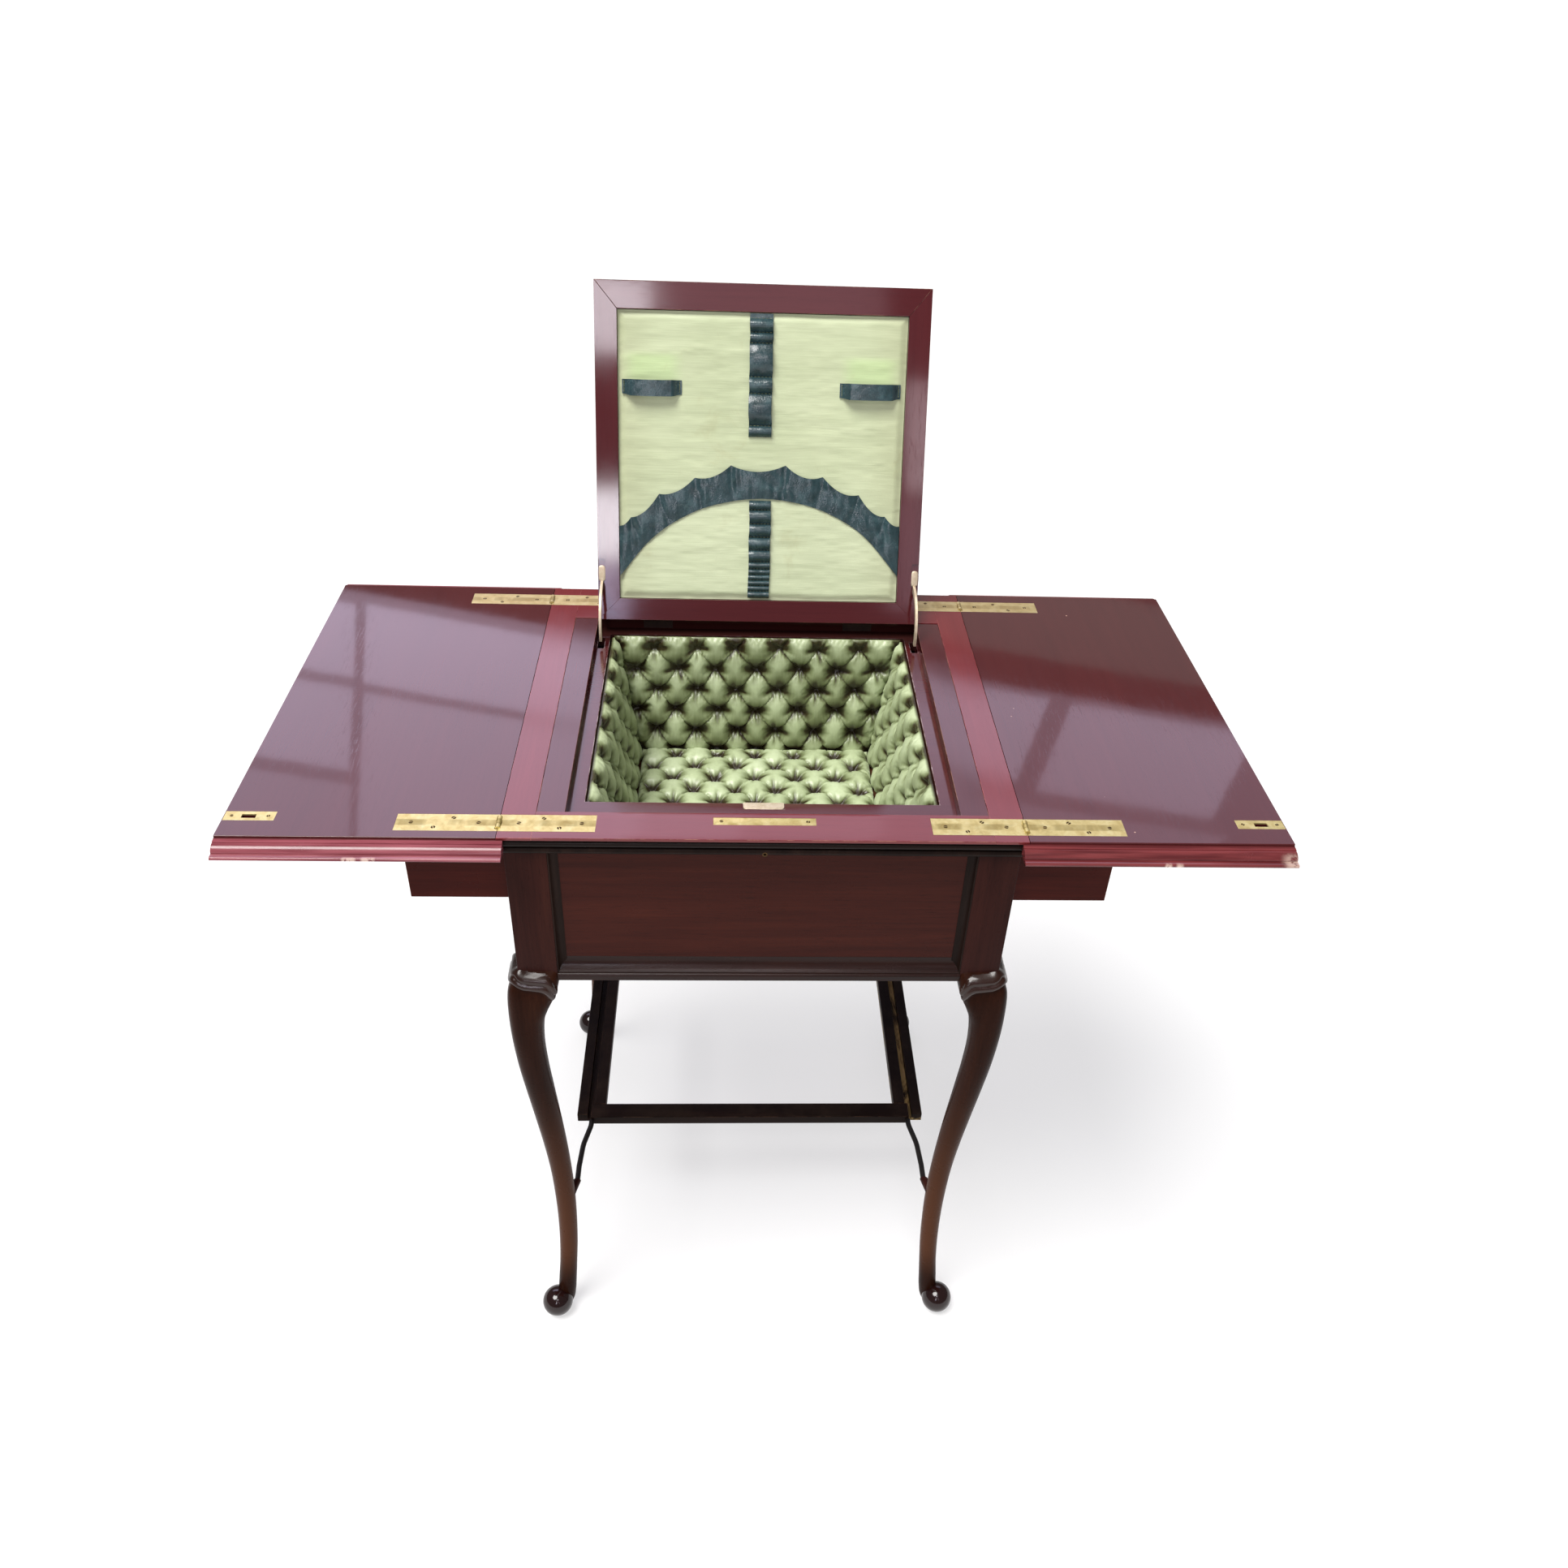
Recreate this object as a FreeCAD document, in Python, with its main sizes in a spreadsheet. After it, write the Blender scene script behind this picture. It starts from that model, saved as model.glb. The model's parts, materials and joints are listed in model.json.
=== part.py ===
import FreeCAD, Part
import Sketcher
import math
import os
import re

# Edwardian fold-over work table, open: two hinged top leaves carried by sliding
# lopers, a hinged lid with a lined inner face, a buttoned well below it, four
# cabriole legs on ball feet and a low open stretcher frame.
# Frame: +X to the right, -Y to the sitter (front), +Z up, millimetres,
# origin on the floor under the middle of the case.

V = FreeCAD.Vector
doc = FreeCAD.newDocument("work_table")
sheet = doc.addObject("Spreadsheet::Sheet", "dims")

DIMS = [
    # overall top
    ("joint_x", 229.8), ("joint_gap", 0.15), ("half_y", 226.0), ("top_z", 725.0),
    ("rail_th", 12.0), ("rail_in_x", 200.0), ("slip_in_x", 175.0), ("slip_drop", 0.7),
    ("front_rail_y", 188.5), ("rear_rail_y", 159.3),
    ("edge_back", 3.4), ("edge_lip", 2.8),
    # leaves
    ("leaf_th", 12.0), ("leaf_out_x", 464.7), ("leaf_gap", 0.3), ("lip_out", 18.5), ("strip_in_x", 223.9),
    # case
    ("post_out_x", 226.0), ("post_out_y", 221.0), ("post_w", 45.0), ("post_wx", 37.0), ("case_bot_z", 552.0),
    ("panel_front_y", 213.0), ("panel_back_y", 207.3), ("side_out_x", 218.0), ("side_in_x", 212.3),
    ("base_top_z", 562.0), ("frieze_z", 705.0), ("bottom_th", 8.0),
    # lopers
    ("loper_y0", 186.0), ("loper_y1", 206.0), ("loper_z0", 640.0), ("loper_z1", 712.7),
    ("loper_x0", 128.0), ("loper_x1", 316.0), ("mort_gap", 0.5),
    # well
    ("rim_in_x", 161.0), ("rim_front_y", 157.6), ("rim_rear_y", 145.0), ("rim_z0", 702.0), ("rim_z1", 712.8),
    ("rim_out_front", 185.0), ("rim_out_rear", 181.0), ("wall_th", 6.0),
    ("well_top_x", 159.5), ("well_bot_x", 141.0), ("well_front_top", 163.0), ("well_front_bot", 150.0),
    ("well_rear_top", 147.0), ("well_rear_bot", 139.0), ("floor_z0", 560.0), ("floor_z1", 566.0),
    ("pad_top_z", 701.5), ("pad_bot_z", 567.0),
    # lid
    ("lid_axis_y", 158.65), ("lid_half_x", 173.7), ("lid_rear_y", 158.0), ("lid_front_y", 188.0),
    ("lid_th", 12.0), ("lid_frame_w", 23.0), ("lid_front_w", 27.5), ("lid_open_deg", 111.0),
    ("silk_face_drop", 2.0), ("silk_th", 4.0),
    ("stay_x0", 168.0), ("stay_x1", 171.0), ("stay_r0", 36.0), ("stay_r1", 44.0),
    # brass
    ("plate_in_x", 146.5), ("plate_out_x", 318.0), ("plate_th", 2.0), ("plate_w", 23.0),
    ("hinge_front_y", 205.0), ("hinge_rear_y", 199.0), ("knuckle_r", 2.2), ("pin_r", 0.8),
    ("lock_half_x", 45.0), ("lock_y0", 205.0), ("lock_y1", 195.0), ("strike_in_x", 421.0),
    # under-frame
    ("str_z0", 194.0), ("str_z1", 206.0), ("str_out_x", 204.0), ("str_in_x", 171.5),
    ("str_groove0", 185.0), ("str_groove1", 192.0), ("bar_y0", 104.0), ("bar_y1", 84.0),
    ("rear_bar_y0", 196.0), ("rear_bar_y1", 208.0), ("rod_r", 3.0),
    ("ball_r", 17.5), ("ball_z", 17.0), ("ball_s", 226.0), ("leg_dy", 5.0),
]
# cabriole leg: height, distance of the leg's centre from the middle plane, radius
LEG = [
    (566.0, 206.8, 16.5), (552.0, 209.6, 20.0), (538.0, 215.2, 23.0), (520.0, 220.0, 20.3), (500.0, 223.4, 16.6),
    (470.0, 223.6, 15.2), (430.0, 221.8, 14.4), (390.0, 218.8, 13.8), (345.0, 215.2, 13.0), (300.0, 211.8, 12.2),
    (250.0, 208.9, 11.3), (200.0, 207.5, 10.9), (150.0, 207.7, 10.4), (110.0, 209.0, 10.1), (75.0, 211.2, 9.9),
    (46.0, 213.6, 10.2), (26.0, 215.2, 10.2), (8.0, 216.4, 9.2),
]
for i, (z, c, r) in enumerate(LEG):
    DIMS += [("leg_h_%02d" % i, z), ("leg_c_%02d" % i, c), ("leg_r_%02d" % i, r)]

for row, (alias, value) in enumerate(DIMS, start=1):
    sheet.set("A%d" % row, alias)
    sheet.set("B%d" % row, str(value))
    sheet.setAlias("B%d" % row, alias)
doc.recompute()


class Q:
    """A length with its value and the sheet expression that gives it."""

    def __init__(self, v, e):
        self.v, self.e = float(v), e

    @staticmethod
    def of(x):
        return x if isinstance(x, Q) else Q(x, "%.6g" % x if x >= 0 else "(0 - %.6g)" % -x)

    def __add__(self, o):
        o = Q.of(o)
        return Q(self.v + o.v, "(%s + %s)" % (self.e, o.e))

    __radd__ = __add__

    def __sub__(self, o):
        o = Q.of(o)
        return Q(self.v - o.v, "(%s - %s)" % (self.e, o.e))

    def __rsub__(self, o):
        return Q.of(o) - self

    def __neg__(self):
        return Q(-self.v, "(0 - %s)" % self.e)

    def __mul__(self, k):
        return Q(self.v * k, "(%s * %.6g)" % (self.e, k))

    __rmul__ = __mul__


class Dims:
    pass


d = Dims()
for alias, value in DIMS:
    setattr(d, alias, Q(value, "dims." + alias))

made = []          # every document object, for the state check
nodes = {}         # node name -> document object
count = [0]


def add(kind, stem):
    count[0] += 1
    o = doc.addObject(kind, "%s_%03d" % (re.sub(r"[^A-Za-z0-9_]", "_", stem), count[0]))
    made.append(o)
    return o


def node(name, o):
    o.Label = name
    nodes[name] = o
    return o


def base_at(o, x, y, z):
    o.setExpression("Placement.Base.x", Q.of(x).e)
    o.setExpression("Placement.Base.y", Q.of(y).e)
    o.setExpression("Placement.Base.z", Q.of(z).e)


def bx(x0, x1, y0, y1, z0, z1, stem="block"):
    x0, x1, y0, y1, z0, z1 = [Q.of(q) for q in (x0, x1, y0, y1, z0, z1)]
    o = add("Part::Box", stem)
    o.setExpression("Length", (x1 - x0).e)
    o.setExpression("Width", (y1 - y0).e)
    o.setExpression("Height", (z1 - z0).e)
    base_at(o, x0, y0, z0)
    return o


ROT = {"X": FreeCAD.Rotation(V(0, 1, 0), 90), "Y": FreeCAD.Rotation(V(1, 0, 0), -90), "Z": FreeCAD.Rotation()}


def cyl(axis, x, y, z, r, length, stem="round"):
    o = add("Part::Cylinder", stem)
    o.Placement = FreeCAD.Placement(V(0, 0, 0), ROT[axis])
    o.setExpression("Radius", Q.of(r).e)
    o.setExpression("Height", Q.of(length).e)
    base_at(o, x, y, z)
    return o


def fuse(*objs):
    o = add("Part::MultiFuse", "joined")
    o.Shapes = list(objs)
    return o


def group(*objs):
    o = add("Part::Compound", "set")
    o.Links = list(objs)
    return o


def cut(base, *tools):
    o = add("Part::Cut", "cut")
    o.Base = base
    o.Tool = tools[0] if len(tools) == 1 else group(*tools)
    return o


def mirror(src, normal):
    o = add("Part::Mirroring", "mirrored")
    o.Source = src
    o.Base = V(0, 0, 0)
    o.Normal = normal
    return o


FRAMES = {  # sketch u, sketch v, pad direction
    "XY": (V(1, 0, 0), V(0, 1, 0), V(0, 0, 1)),
    "YZ": (V(0, 1, 0), V(0, 0, 1), V(1, 0, 0)),
    "XZ": (V(1, 0, 0), V(0, 0, 1), V(0, -1, 0)),
}


def plane_of(body, role):
    return [f for f in body.Origin.OriginFeatures if f.Role == role][0]


def pin_point(sk, geo, pos, u, v):
    """Hold one end of a sketch line at (u, v) from the sketch origin."""
    for kind, q, axis in (("DistanceX", u, -2), ("DistanceY", v, -1)):
        if abs(q.v) < 1e-9:
            sk.addConstraint(Sketcher.Constraint("PointOnObject", geo, pos, axis))
        else:
            k = sk.addConstraint(Sketcher.Constraint(kind, -1, 1, geo, pos, q.v))
            sk.setExpression("Constraints[%d]" % k, q.e)


def prism(plane, outline, a0, a1, stem="prism"):
    """A padded outline. Outline items are (u, v) corners; ("arc", u, v) is the point an
    arc passes through on its way from the corner before it to the corner after it."""
    a0, a1 = Q.of(a0), Q.of(a1)
    body = add("PartDesign::Body", stem)
    sk = body.newObject("Sketcher::SketchObject", stem + "_outline_%03d" % count[0])
    sk.AttachmentSupport = [(plane_of(body, "XY_Plane"), "")]
    sk.MapMode = "FlatFace"
    corners = []
    mids = {}
    for item in outline:
        if item[0] == "arc":
            mids[len(corners) - 1] = (float(Q.of(item[1]).v), float(Q.of(item[2]).v))
        else:
            corners.append((Q.of(item[0]), Q.of(item[1])))
    n = len(corners)
    geo = []
    for i in range(n):
        p, q = corners[i], corners[(i + 1) % n]
        a, b = V(p[0].v, p[1].v, 0), V(q[0].v, q[1].v, 0)
        if i in mids:
            c = V(mids[i][0], mids[i][1], 0)
            arc = Part.Arc(a, c, b)
            sh = arc.toShape()
            same = (sh.valueAt(sh.FirstParameter) - a).Length < 1e-6
            g = sk.addGeometry(arc)
            # a sketch arc always runs counter-clockwise, so its ends are found by place
            s0 = sk.getPoint(g, 1)
            first = (s0 - a).Length < 1e-6
            geo.append((g, 1 if first else 2, 2 if first else 1, same))
        else:
            g = sk.addGeometry(Part.LineSegment(a, b))
            geo.append((g, 1, 2, True))
    for i in range(n):
        j = (i + 1) % n
        sk.addConstraint(Sketcher.Constraint("Coincident", geo[i][0], geo[i][2], geo[j][0], geo[j][1]))
    for i in range(n):
        pin_point(sk, geo[i][0], geo[i][1], corners[i][0], corners[i][1])
    pad = body.newObject("PartDesign::Pad", stem + "_pad_%03d" % count[0])
    pad.Profile = sk
    pad.setExpression("Length", (a1 - a0).e)
    made.extend([sk, pad])
    u, v, w = FRAMES[plane]
    body.Placement = FreeCAD.Placement(V(0, 0, 0), FreeCAD.Rotation(u, v, w, "XYZ"))
    if plane == "XY":
        base_at(body, 0, 0, a0)
    elif plane == "YZ":
        base_at(body, a0, 0, 0)
    else:
        base_at(body, 0, a1, 0)
    return body


MX, MY = V(1, 0, 0), V(0, 1, 0)
z_rail = d.top_z - d.rail_th
post_in_x = d.post_out_x - d.post_wx
post_in_y = d.post_out_y - d.post_w

# ---------------------------------------------------------------- brass leaf hinges
# Each strip hinge turns on a line at the top surface; two outer knuckles belong to the
# middle of the table and one short inner knuckle to the leaf.


def leaf_hinge(side, yc):
    """Returns fixed plate, moving plate, pin and the recesses they lie in (right side)."""
    y0, y1 = yc - d.plate_w * 0.5, yc + d.plate_w * 0.5
    zl = d.top_z - d.plate_th
    big = d.knuckle_r + 0.4
    xf, xm = d.joint_x - d.joint_gap, d.joint_x + d.leaf_gap

    def barrel(a, b, r):
        return cyl("Y", d.joint_x, yc + a, d.top_z, r, b - a)

    fixed = bx(d.plate_in_x, xf, y0, y1, zl, d.top_z)
    fixed = cut(fixed, barrel(-2.6, 2.6, big))
    fixed = fuse(fixed, barrel(-8, -2.6, d.knuckle_r), barrel(2.6, 8, d.knuckle_r))
    fixed = cut(fixed, barrel(-9, 9, d.pin_r))
    move = bx(xm, d.plate_out_x, y0, y1, zl, d.top_z)
    move = cut(move, barrel(-8.6, -2.2, big), barrel(2.2, 8.6, big))
    move = fuse(move, barrel(-2.2, 2.2, d.knuckle_r))
    move = cut(move, barrel(-9, 9, d.pin_r + 0.25))
    pin = barrel(-8, 8, d.pin_r)
    seat_f = fuse(bx(d.plate_in_x, d.joint_x, y0, y1, zl, d.top_z + 1), barrel(-9, 9, big))
    seat_m = fuse(bx(d.joint_x, d.plate_out_x, y0, y1, zl, d.top_z + 1), barrel(-9, 9, big))
    return fixed, move, pin, seat_f, seat_m


hf = leaf_hinge("right", -d.hinge_front_y)
hr = leaf_hinge("right", d.hinge_rear_y)
right_fixed, right_move = [hf[0], hr[0]], [hf[1], hr[1]]
left_fixed, left_move = [mirror(o, MX) for o in right_fixed], [mirror(o, MX) for o in right_move]
right_pins = [hf[2], hr[2]]
left_pins = [mirror(o, MX) for o in right_pins]
seats_r_fixed, seats_r_move = [hf[3], hr[3]], [hf[4], hr[4]]
seats_l_fixed = [mirror(o, MX) for o in seats_r_fixed]

# ---------------------------------------------------------------- lid hinges
lid_hinge_x = (-110, 110)


def lid_hinge(xc):
    big = d.knuckle_r + 0.4

    def barrel(a, b, r):
        return cyl("X", xc + a, d.lid_axis_y, d.top_z, r, b - a)

    fixed = bx(xc - 16, xc + 16, d.rear_rail_y, d.rear_rail_y + 1.4, d.top_z - 11.4, d.top_z - 0.6)
    fixed = cut(fixed, barrel(-6.4, 6.4, big))
    fixed = fuse(fixed, barrel(-16, -6.4, d.knuckle_r), barrel(6.4, 16, d.knuckle_r))
    fixed = cut(fixed, barrel(-17, 17, d.pin_r))
    move = bx(xc - 16, xc + 16, d.lid_rear_y - 1.4, d.lid_rear_y, d.top_z - 11.4, d.top_z - 0.6)
    move = cut(move, barrel(-17, -6, big), barrel(6, 17, big))
    move = fuse(move, barrel(-6, 6, d.knuckle_r))
    move = cut(move, barrel(-17, 17, d.pin_r + 0.25))
    pin = barrel(-16, 16, d.pin_r)
    seat_f = fuse(bx(xc - 16, xc + 16, d.rear_rail_y - 1, d.rear_rail_y + 1.4, d.top_z - 11.4, d.top_z + 1),
                  barrel(-16.4, 16.4, big))
    seat_m = fuse(bx(xc - 16, xc + 16, d.lid_rear_y - 1.4, d.lid_rear_y + 1, d.top_z - 11.4, d.top_z + 1),
                  barrel(-16.4, 16.4, big))
    return fixed, move, pin, seat_f, seat_m


lid_hinges = [lid_hinge(x) for x in lid_hinge_x]

node("hinge_plates_fixed", group(*(right_fixed + left_fixed + [h[0] for h in lid_hinges])))
node("hinge_pins", group(*(right_pins + left_pins + [h[2] for h in lid_hinges])))
node("leaf_hinge_plates_right", group(*right_move))
node("leaf_hinge_plates_left", group(*left_move))

# ---------------------------------------------------------------- fixed top frame
# front and back edges: a thin lip, a quirk below it, then a bead
eb = d.half_y - d.edge_back
edge_rear = prism("YZ", [(d.half_y + 1, z_rail - 1), (d.half_y + 1, d.top_z - d.edge_lip), (eb, d.top_z - d.edge_lip - 1.2),
                         (eb, z_rail + 7.2), ("arc", d.half_y - 0.5, z_rail + 4.0), (eb, z_rail + 0.8), (eb, z_rail - 1)],
                  -240, 240, "edge_quirk")
step = group(edge_rear, mirror(edge_rear, MY))
rail_r = bx(d.rail_in_x, d.joint_x - d.joint_gap, -d.half_y, d.half_y, z_rail, d.top_z)
top_right = cut(rail_r, step, *seats_r_fixed)
node("top_rail_right", top_right)
node("top_rail_left", mirror(top_right, MX))

lock_seat = bx(-d.lock_half_x, d.lock_half_x, -d.lock_y0, -d.lock_y1, d.top_z - 1.6, d.top_z + 1)
link_slots = [bx(x - 6, x + 6, -202, -198, z_rail - 8, d.top_z + 1) for x in (-21, 21)]
rail_f = bx(-d.rail_in_x, d.rail_in_x, -d.half_y, -d.front_rail_y, z_rail, d.top_z)
node("top_rail_front", cut(rail_f, step, lock_seat, *(seats_r_fixed + seats_l_fixed + link_slots)))
rail_b = bx(-d.rail_in_x, d.rail_in_x, d.rear_rail_y, d.half_y, z_rail, d.top_z)
node("top_rail_rear", cut(rail_b, step, *(seats_r_fixed + seats_l_fixed + [h[3] for h in lid_hinges])))

# inner slips: a hair lower than the rails, they flank the lid opening
z_slip = d.top_z - d.slip_drop
slip_r = bx(d.slip_in_x, d.rail_in_x, -d.front_rail_y, d.rear_rail_y, z_rail, z_slip)
node("top_slips", group(slip_r, mirror(slip_r, MX)))

# ---------------------------------------------------------------- lock
plate = bx(-d.lock_half_x, d.lock_half_x, -d.lock_y0, -d.lock_y1, d.top_z - 1.6, d.top_z)
node("lock_plate", cut(plate, *link_slots))
lock_case = bx(-34, 34, -206.8, -188, 680, z_rail)
lock_room = bx(-31, 31, -203, -197, 699, 707)
node("lock_body", cut(lock_case, lock_room, *link_slots))
node("lock_bolt", fuse(bx(-26, 20, -202.5, -197.5, 699.3, 703), bx(-26, -20, -202.5, -197.5, 703, 706.5),
                       bx(14, 20, -202.5, -197.5, 703, 706.5)))

# ---------------------------------------------------------------- case
front_panel = bx(-post_in_x, post_in_x, -d.panel_front_y, -d.panel_back_y, d.base_top_z, d.frieze_z)
node("panel_front", front_panel)
node("panel_rear", mirror(front_panel, MY))
side_panel = bx(d.side_in_x, d.side_out_x, -post_in_y, post_in_y, d.base_top_z, d.frieze_z)
node("panel_right", side_panel)
node("panel_left", mirror(side_panel, MX))
board = bx(-d.side_in_x, d.side_in_x, -d.panel_back_y, d.panel_back_y, d.case_bot_z, d.case_bot_z + d.bottom_th)
corner_r = bx(post_in_x, d.post_out_x, -d.post_out_y, -post_in_y, 540, 580)
corners = [corner_r, mirror(corner_r, MX)]
corners += [mirror(c, MY) for c in corners]
node("bottom_board", cut(board, *corners))

# mouldings: frieze rail with a bead above the panels, stepped base moulding, and a cove
# down each side of a panel that dies on to the cove of the base
zb, zt = d.case_bot_z, d.base_top_z


def base_outline(inn, panel, face):
    return [(inn, zb), (face + 1.5, zb), (face + 1.5, zb + 5), ("arc", face + 1.0, zb + 6.4), (face - 0.8, zb + 7.5),
            (face - 0.8, zb + 9), ("arc", face - 5.2, zb + 13.4), (panel, zb + 23), (panel, zt), (inn, zt)]


def bead_outline(face):
    a = d.frieze_z
    return [(face, a), (face + 0.7, a), (face + 0.7, a + 1.2), ("arc", face + 3.6, a + 4.3), (face + 0.7, a + 7.4),
            (face + 0.7, z_rail), (face, z_rail)]


base_rear = prism("YZ", base_outline(d.panel_back_y, d.panel_front_y, d.post_out_y), -post_in_x, post_in_x, "base_rear")
base_right = prism("XZ", base_outline(d.side_in_x, d.side_out_x, d.post_out_x), -post_in_y, post_in_y, "base_side")
frieze_rear = bx(-post_in_x, post_in_x, d.panel_back_y, d.post_out_y, d.frieze_z, z_rail)
frieze_right = bx(d.side_in_x, d.post_out_x, -post_in_y, post_in_y, d.frieze_z, z_rail)
string_rear = prism("YZ", bead_outline(d.post_out_y), -d.post_out_x, d.post_out_x, "bead_rear")
string_right = prism("XZ", bead_outline(d.post_out_x), -post_in_y, post_in_y, "bead_side")
cove_f = prism("XY", [(post_in_x, d.panel_front_y), (post_in_x, d.post_out_y - 0.6), (post_in_x - 1.2, d.post_out_y - 0.6),
                      ("arc", post_in_x - 3.6, d.post_out_y - 5.2), (post_in_x - 8.5, d.panel_front_y + 0.5),
                      (post_in_x - 8.5, d.panel_front_y)], zb + 8, d.frieze_z, "cove_rear")
cove_f = cut(cove_f, base_rear)
cove_s = prism("XY", [(d.side_out_x, post_in_y), (d.side_out_x, post_in_y - 8.5), (d.side_out_x + 0.5, post_in_y - 8.5),
                      ("arc", d.post_out_x - 5.2, post_in_y - 3.6), (d.post_out_x - 0.6, post_in_y - 1.2),
                      (d.post_out_x - 0.6, post_in_y)], zb + 8, d.frieze_z, "cove_side")
cove_s = cut(cove_s, base_right)
key_hole = cyl("Y", 0, -230, 707.6, 1.2, 30)
frieze_front = cut(mirror(frieze_rear, MY), key_hole, cyl("Y", 0, -226, 707.6, 2.4, 226 - 218.5))
string_front = cut(mirror(string_rear, MY), cyl("Y", 0, -230, 707.6, 2.4, 20))
beads = [cove_f, mirror(cove_f, MX), cove_s, mirror(cove_s, MX)]
beads += [mirror(b, MY) for b in beads]
node("case_mouldings", group(base_rear, mirror(base_rear, MY), base_right, mirror(base_right, MX),
                             frieze_rear, frieze_front, frieze_right, mirror(frieze_right, MX),
                             string_rear, string_front, string_right, mirror(string_right, MX), *beads))
node("keyhole_escutcheon", cut(cyl("Y", 0, -224.4, 707.6, 2.4, 224.4 - 218.5), key_hole))

# ---------------------------------------------------------------- under-frame
rail_s = cut(bx(d.str_in_x, d.str_out_x, -d.bar_y0 + 4, d.rear_bar_y0, d.str_z0, d.str_z1),
             bx(d.str_groove0, d.str_groove1, -150, 230, d.str_z0 + 4, d.str_z1 + 1),
             bx(160, d.str_groove0 + 3, -d.bar_y0 - 1, -d.bar_y1, d.str_z0 - 1, d.str_z1 + 1))
node("stretcher_side_right", rail_s)
node("stretcher_side_left", mirror(rail_s, MX))
node("stretcher_front_bar", bx(-d.str_groove0 - 3, d.str_groove0 + 3, -d.bar_y0, -d.bar_y1, d.str_z0, d.str_z1))
rear_bar = bx(-203, 203, d.rear_bar_y0, d.rear_bar_y1, d.str_z0, d.str_z1)
node("stretcher_rear_bar", rear_bar)

# ---------------------------------------------------------------- legs
body = add("PartDesign::Body", "cabriole")
sections = []
for i in range(len(LEG)):
    z, c, r = getattr(d, "leg_h_%02d" % i), getattr(d, "leg_c_%02d" % i), getattr(d, "leg_r_%02d" % i)
    sk = body.newObject("Sketcher::SketchObject", "leg_section_%02d" % i)
    sk.AttachmentSupport = [(plane_of(body, "XY_Plane"), "")]
    sk.MapMode = "FlatFace"
    sk.AttachmentOffset = FreeCAD.Placement(V(0, 0, z.v), FreeCAD.Rotation())
    sk.setExpression("AttachmentOffset.Base.z", z.e)
    g = sk.addGeometry(Part.Circle(V(c.v, c.v - d.leg_dy.v, 0), V(0, 0, 1), r.v))
    k = sk.addConstraint(Sketcher.Constraint("Radius", g, r.v))
    sk.setExpression("Constraints[%d]" % k, r.e)
    pin_point(sk, g, 3, c, c - d.leg_dy)
    sections.append(sk)
    made.append(sk)
loft = body.newObject("PartDesign::AdditiveLoft", "leg_curve")
loft.Profile = sections[0]
loft.Sections = sections[1:]
loft.Ruled = False
made.append(loft)

ball = add("Part::Sphere", "ball_foot")
ball.setExpression("Radius", d.ball_r.e)
base_at(ball, d.ball_s, d.ball_s - d.leg_dy, d.ball_z)
post = bx(post_in_x, d.post_out_x, post_in_y, d.post_out_y, d.case_bot_z, z_rail)
leg = fuse(post, body, ball)
mortise = bx(post_in_x - 5, d.post_out_x + 5, d.loper_y0 - d.mort_gap, d.loper_y1 + d.mort_gap,
             d.loper_z0 - d.mort_gap, z_rail + 1)
leg = cut(leg, mortise, bx(150, 300, 150, 300, -40, 0))          # rear right leg, flat under the ball
leg_rear = cut(leg, rear_bar, rail_s)
lug = bx(190, 207, -203, -187, d.str_z0, d.str_z1)
leg_front = fuse(mirror(leg, MY), lug)
node("leg_rear_right", leg_rear)
node("leg_rear_left", mirror(leg_rear, MX))
node("leg_front_right", leg_front)
node("leg_front_left", mirror(leg_front, MX))

# ---------------------------------------------------------------- lopers and their runners
loper = bx(d.loper_x0, d.loper_x1, -d.loper_y1, -d.loper_y0, d.loper_z0, d.loper_z1)
node("loper_front_right", loper)
node("loper_front_left", mirror(loper, MX))
node("loper_rear_right", mirror(loper, MY))
node("loper_rear_left", mirror(mirror(loper, MX), MY))
runner = bx(-post_in_x, post_in_x, -d.loper_y1, -d.loper_y0, d.loper_z0 - 7, d.loper_z0 - 0.3)
node("loper_runners", group(runner, mirror(runner, MY)))

# ---------------------------------------------------------------- well
rim = bx(-post_in_x, post_in_x, -d.rim_out_front, d.rim_out_rear, d.rim_z0, d.rim_z1)
rim_hole = bx(-d.rim_in_x, d.rim_in_x, -d.rim_front_y, d.rim_rear_y, 690, 720)
stay_slots = [bx(166.5, 173.5, 115, 137, 690, 720), bx(-173.5, -166.5, 115, 137, 690, 720)]
finger = bx(-18.5, 18.5, -d.rim_front_y - 8.9, -d.rim_front_y + 0.8, d.rim_z1 - 1.6, d.rim_z1)
node("well_rim", cut(rim, rim_hole, finger, *stay_slots))
node("finger_plate", finger)
zf, zw = d.floor_z1, d.rim_z0
node("well_floor", bx(-d.well_bot_x - d.wall_th, d.well_bot_x + d.wall_th, -d.well_front_bot - d.wall_th,
                      d.well_rear_bot + d.wall_th, d.floor_z0, zf))
side_wall = prism("XZ", [(d.well_bot_x, zf), (d.well_bot_x + d.wall_th, zf), (d.well_top_x + d.wall_th, zw),
                         (d.well_top_x, zw)], -d.well_front_bot, d.well_rear_bot, "well_side")
node("well_wall_right", side_wall)
node("well_wall_left", mirror(side_wall, MX))
node("well_wall_rear", prism("YZ", [(d.well_rear_bot, zf), (d.well_rear_bot + d.wall_th, zf),
                                    (d.well_rear_top + d.wall_th, zw), (d.well_rear_top, zw)],
                             -d.well_bot_x, d.well_bot_x, "well_rear"))
front_wall = prism("YZ", [(d.well_front_bot, zf), (d.well_front_bot + d.wall_th, zf),
                          (d.well_front_top + d.wall_th, zw), (d.well_front_top, zw)],
                   -d.well_bot_x, d.well_bot_x, "well_front")
node("well_wall_front", mirror(front_wall, MY))

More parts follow.
